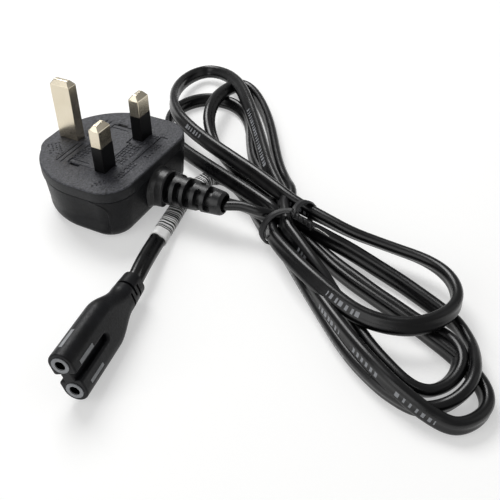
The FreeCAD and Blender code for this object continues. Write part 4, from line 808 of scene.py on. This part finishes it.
def inSlot(place, angle):
    # slots take turns: each leaves a narrow bridge on one side and has round ends beside it
    spec = reliefSpec
    half = spec["slotWidth"] / 2
    for i, middle in enumerate(spec["slots"]):
        away = abs(place - middle)
        if away < half:
            fromBridge = abs((angle - spec["bridges"][i % 2] + 90) % 180 - 90)
            roundEnd = half - math.sqrt(half * half - away * away)
            return math.radians(fromBridge - spec["bridge"]) * reliefRadius(middle) > roundEnd
    return False


def reliefPoint(place, angle, radius):
    # a point of the relief's skin, with the collar's lower half drawn out to its square block
    spec = reliefSpec
    across, up = math.cos(math.radians(angle)), math.sin(math.radians(angle))
    if place < spec["collarEnd"] and up < 0:
        power = spec["squareness"]
        radius *= (abs(across) ** power + abs(up) ** power) ** (-1 / power)
        up *= spec["blockDepth"]
    return radius * across, -place * mm, spec["height"] + radius * up


def addRelief():
    spec = reliefSpec
    mesh = bmesh.new()
    first, last = reliefOutline[0][0], reliefOutline[-1][0]
    steps = round((last - first) * mm / spec["step"])
    angles = [360 * i / spec["around"] for i in range(spec["around"])]
    rings = []
    for i in range(steps + 1):
        place = first + (last - first) * i / steps
        radii = [spec["core"] if inSlot(place, angle) else reliefRadius(place) * mm for angle in angles]
        rings.append([(angle, radius, place) for angle, radius in zip(angles, radii)])
    for place in (last, spec["mouthEnd"]):
        rings.append([(angle, spec["mouth"], place) for angle in angles])
    made = [[mesh.verts.new(reliefPoint(place, angle, radius)) for angle, radius, place in ring]
            for ring in rings]
    skinRings(mesh, made)
    mesh.faces.new(made[0])
    mesh.faces.new(made[-1])
    data = finishMesh("plugRelief", mesh)
    relief = addPiece("plugRelief", data, materials["polishedPvc"])
    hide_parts("plug_strain_relief")


pinSpec = {"lower": 0.65 * mm, "near": 0.1 * mm, "edge": 0.22 * mm, "edgeAngle": 0.3, "segments": 3,
           "flatAngle": 1, "sharp": 20, "smallFace": 0.8e-6}


def addPin(node, name):
    # the solid pin with its tip a little lower and its edges broken; its large faces stay flat
    mesh = bmesh.new()
    mesh.from_mesh(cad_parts[node].data)
    bmesh.ops.remove_doubles(mesh, verts=mesh.verts, dist=weld)
    bmesh.ops.dissolve_limit(mesh, angle_limit=math.radians(pinSpec["flatAngle"]),
                             verts=mesh.verts, edges=mesh.edges)
    tip = max(vert.co.z for vert in mesh.verts)
    for vert in mesh.verts:
        if vert.co.z > tip - pinSpec["near"]:
            vert.co.z -= pinSpec["lower"]
    edges = [edge for edge in mesh.edges if edge.calc_face_angle(0) > pinSpec["edgeAngle"]
             and min(vert.co.z for vert in edge.verts) > bodySpec["faceTop"] - pinSpec["near"]]
    bmesh.ops.bevel(mesh, geom=edges, offset=pinSpec["edge"], segments=pinSpec["segments"], profile=0.5,
                    affect="EDGES")
    data = finishMesh(name, mesh, pinSpec["sharp"])
    for polygon in data.polygons:
        polygon.use_smooth = polygon.area < pinSpec["smallFace"]
    pin = addPiece(name, data, materials["nickelPlatedBrass"])
    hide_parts(node)


# the connector's face and directions, as its solids have them, and a near-black lining at the entry of each
# bore, painted shade for the dark inside it
connectorSpec = {"face": (-82.4, -48.9, 9.5), "heading": 10.45, "tilt": -4.6, "roll": -110.6,
                 "spacing": 8.6}
boreShadeSpec = {"outer": 1.49, "inner": 1.43, "from": 0.1, "to": 1.58, "around": 48}


def addBoreShadeLinings():
    # a thin tube just inside each bore's entry, coloured near black: painted shade, not a part of the
    # connector
    spec = connectorSpec
    heading, tilt, roll = (math.radians(spec[turn]) for turn in ("heading", "tilt", "roll"))
    along = Vector((math.cos(heading) * math.cos(tilt), math.sin(heading) * math.cos(tilt), math.sin(tilt)))
    level = Vector((0, 0, 1)).cross(along).normalized()
    across = level * math.cos(roll) + along.cross(level) * math.sin(roll)
    square = along.cross(across)
    turns = [2 * math.pi * i / boreShadeSpec["around"] for i in range(boreShadeSpec["around"])]
    spokes = [across * math.cos(turn) + square * math.sin(turn) for turn in turns]
    mesh = bmesh.new()
    for side in (-1, 1):
        middle = Vector(spec["face"]) + across * side * spec["spacing"] / 2
        rings = []
        for depth, radius in (("from", "outer"), ("to", "outer"), ("to", "inner"), ("from", "inner")):
            centre = middle + along * boreShadeSpec[depth]
            rings.append([mesh.verts.new((centre + spoke * boreShadeSpec[radius]) * mm) for spoke in spokes])
        skinRings(mesh, rings + rings[:1])
    addPiece("boreShadeLinings", finishMesh("boreShadeLinings", mesh), materials["paintedShadeBrass"])


addPlugBody()
addPlugFace()
addMarks()
addRelief()
addBoreShadeLinings()
for node, name in (("earth_pin", "earthPin"), ("line_pin", "linePin"), ("neutral_pin", "neutralPin")):
    addPin(node, name)
print("plug body, face and pins")


# finishes of the solids that show as they are, save the contacts, which take painted shade
nodeFinish = {
    "fuse_carrier": "grainedNylon", "line_pin_sleeve": "sleeveNylon", "neutral_pin_sleeve": "sleeveNylon",
    "fuse_tube": "fuseCeramic", "fuse_cap_line": "platedFuseCap", "fuse_cap_load": "platedFuseCap",
    "fuse_clip_line": "springBrass", "fuse_clip_load": "springBrass",
    "connector_cover": "softPvc", "connector_insert": "insertNylon",
    # the contacts are coloured near black: painted shade for the inside of the bores
    "contact_upper": "paintedShadeBrass", "contact_lower": "paintedShadeBrass",
}
for node, finish in nodeFinish.items():
    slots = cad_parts[node].data.materials
    slots.clear()
    slots.append(materials[finish])
print("finished nodes", len(nodeFinish))


# floor and light
studioSpec = {"paper": "d0d0cf", "roughness": 0.9, "gloss": 0.1, "glow": 0.42, "reach": 12.0,
              "air": "ffffff", "fill": 0.27, "aim": (0.0, -0.06, 0.0)}


def addStage():
    # white paper that takes the shadow; its glow reaches the eye and no diffuse light
    material, tree, shader = newMaterial("paperFloor")
    shader.inputs["Base Color"].default_value = hexToLinear(studioSpec["paper"])
    shader.inputs["Roughness"].default_value = studioSpec["roughness"]
    shader.inputs["Specular IOR Level"].default_value = studioSpec["gloss"]
    path = addNode(tree, "ShaderNodeLightPath").outputs
    seen = addNode(tree, "ShaderNodeMath", {"operation": "MAXIMUM"},
                   {0: path["Is Camera Ray"], 1: path["Is Glossy Ray"]})
    seen = addNode(tree, "ShaderNodeMath", {"operation": "MAXIMUM"},
                   {0: seen.outputs[0], 1: path["Is Transmission Ray"]})
    glow = addNode(tree, "ShaderNodeMath", {"operation": "MULTIPLY", 1: studioSpec["glow"]},
                   {0: seen.outputs[0]})
    tree.links.new(glow.outputs[0], shader.inputs["Emission Strength"])
    shader.inputs["Emission Color"].default_value = (1, 1, 1, 1)
    data = bpy.data.meshes.new("floor")
    reach = studioSpec["reach"]
    corners = [(-reach, -reach, 0), (reach, -reach, 0), (reach, reach, 0), (-reach, reach, 0)]
    data.from_pydata(corners, [], [(0, 1, 2, 3)])
    data.materials.append(material)
    floor = bpy.data.objects.new("floor", data)
    bpy.context.collection.objects.link(floor)


lampSpecs = {
    "backSoftbox": {"place": (0.35, 0.45, 0.75), "size": 0.5, "power": 7.0},
    "leftSoftbox": {"place": (-0.75, 0.25, 0.42), "size": 0.8, "power": 3.0},
    "sideFill": {"place": (0.3, -0.75, 0.5), "size": 0.7, "power": 0.5},
}


def addLights():
    for name, spec in lampSpecs.items():
        data = bpy.data.lights.new(name, "AREA")
        data.size = spec["size"]
        data.energy = spec["power"]
        lamp = bpy.data.objects.new(name, data)
        bpy.context.collection.objects.link(lamp)
        lamp.location = spec["place"]
        aim = Vector(studioSpec["aim"]) - lamp.location
        lamp.rotation_euler = aim.to_track_quat("-Z", "Y").to_euler()
    world = bpy.data.worlds.new("studio")
    world.use_nodes = True
    tree = world.node_tree
    tree.nodes.clear()
    sky = addNode(tree, "ShaderNodeBackground",
                  {"Color": hexToLinear(studioSpec["air"]), "Strength": studioSpec["fill"]})
    addNode(tree, "ShaderNodeOutputWorld", links={"Surface": sky.outputs["Background"]})
    bpy.context.scene.world = world


addStage()
addLights()
bpy.context.scene.view_settings.view_transform = "Standard"
print("stage and light set")

bpy.context.view_layer.update()
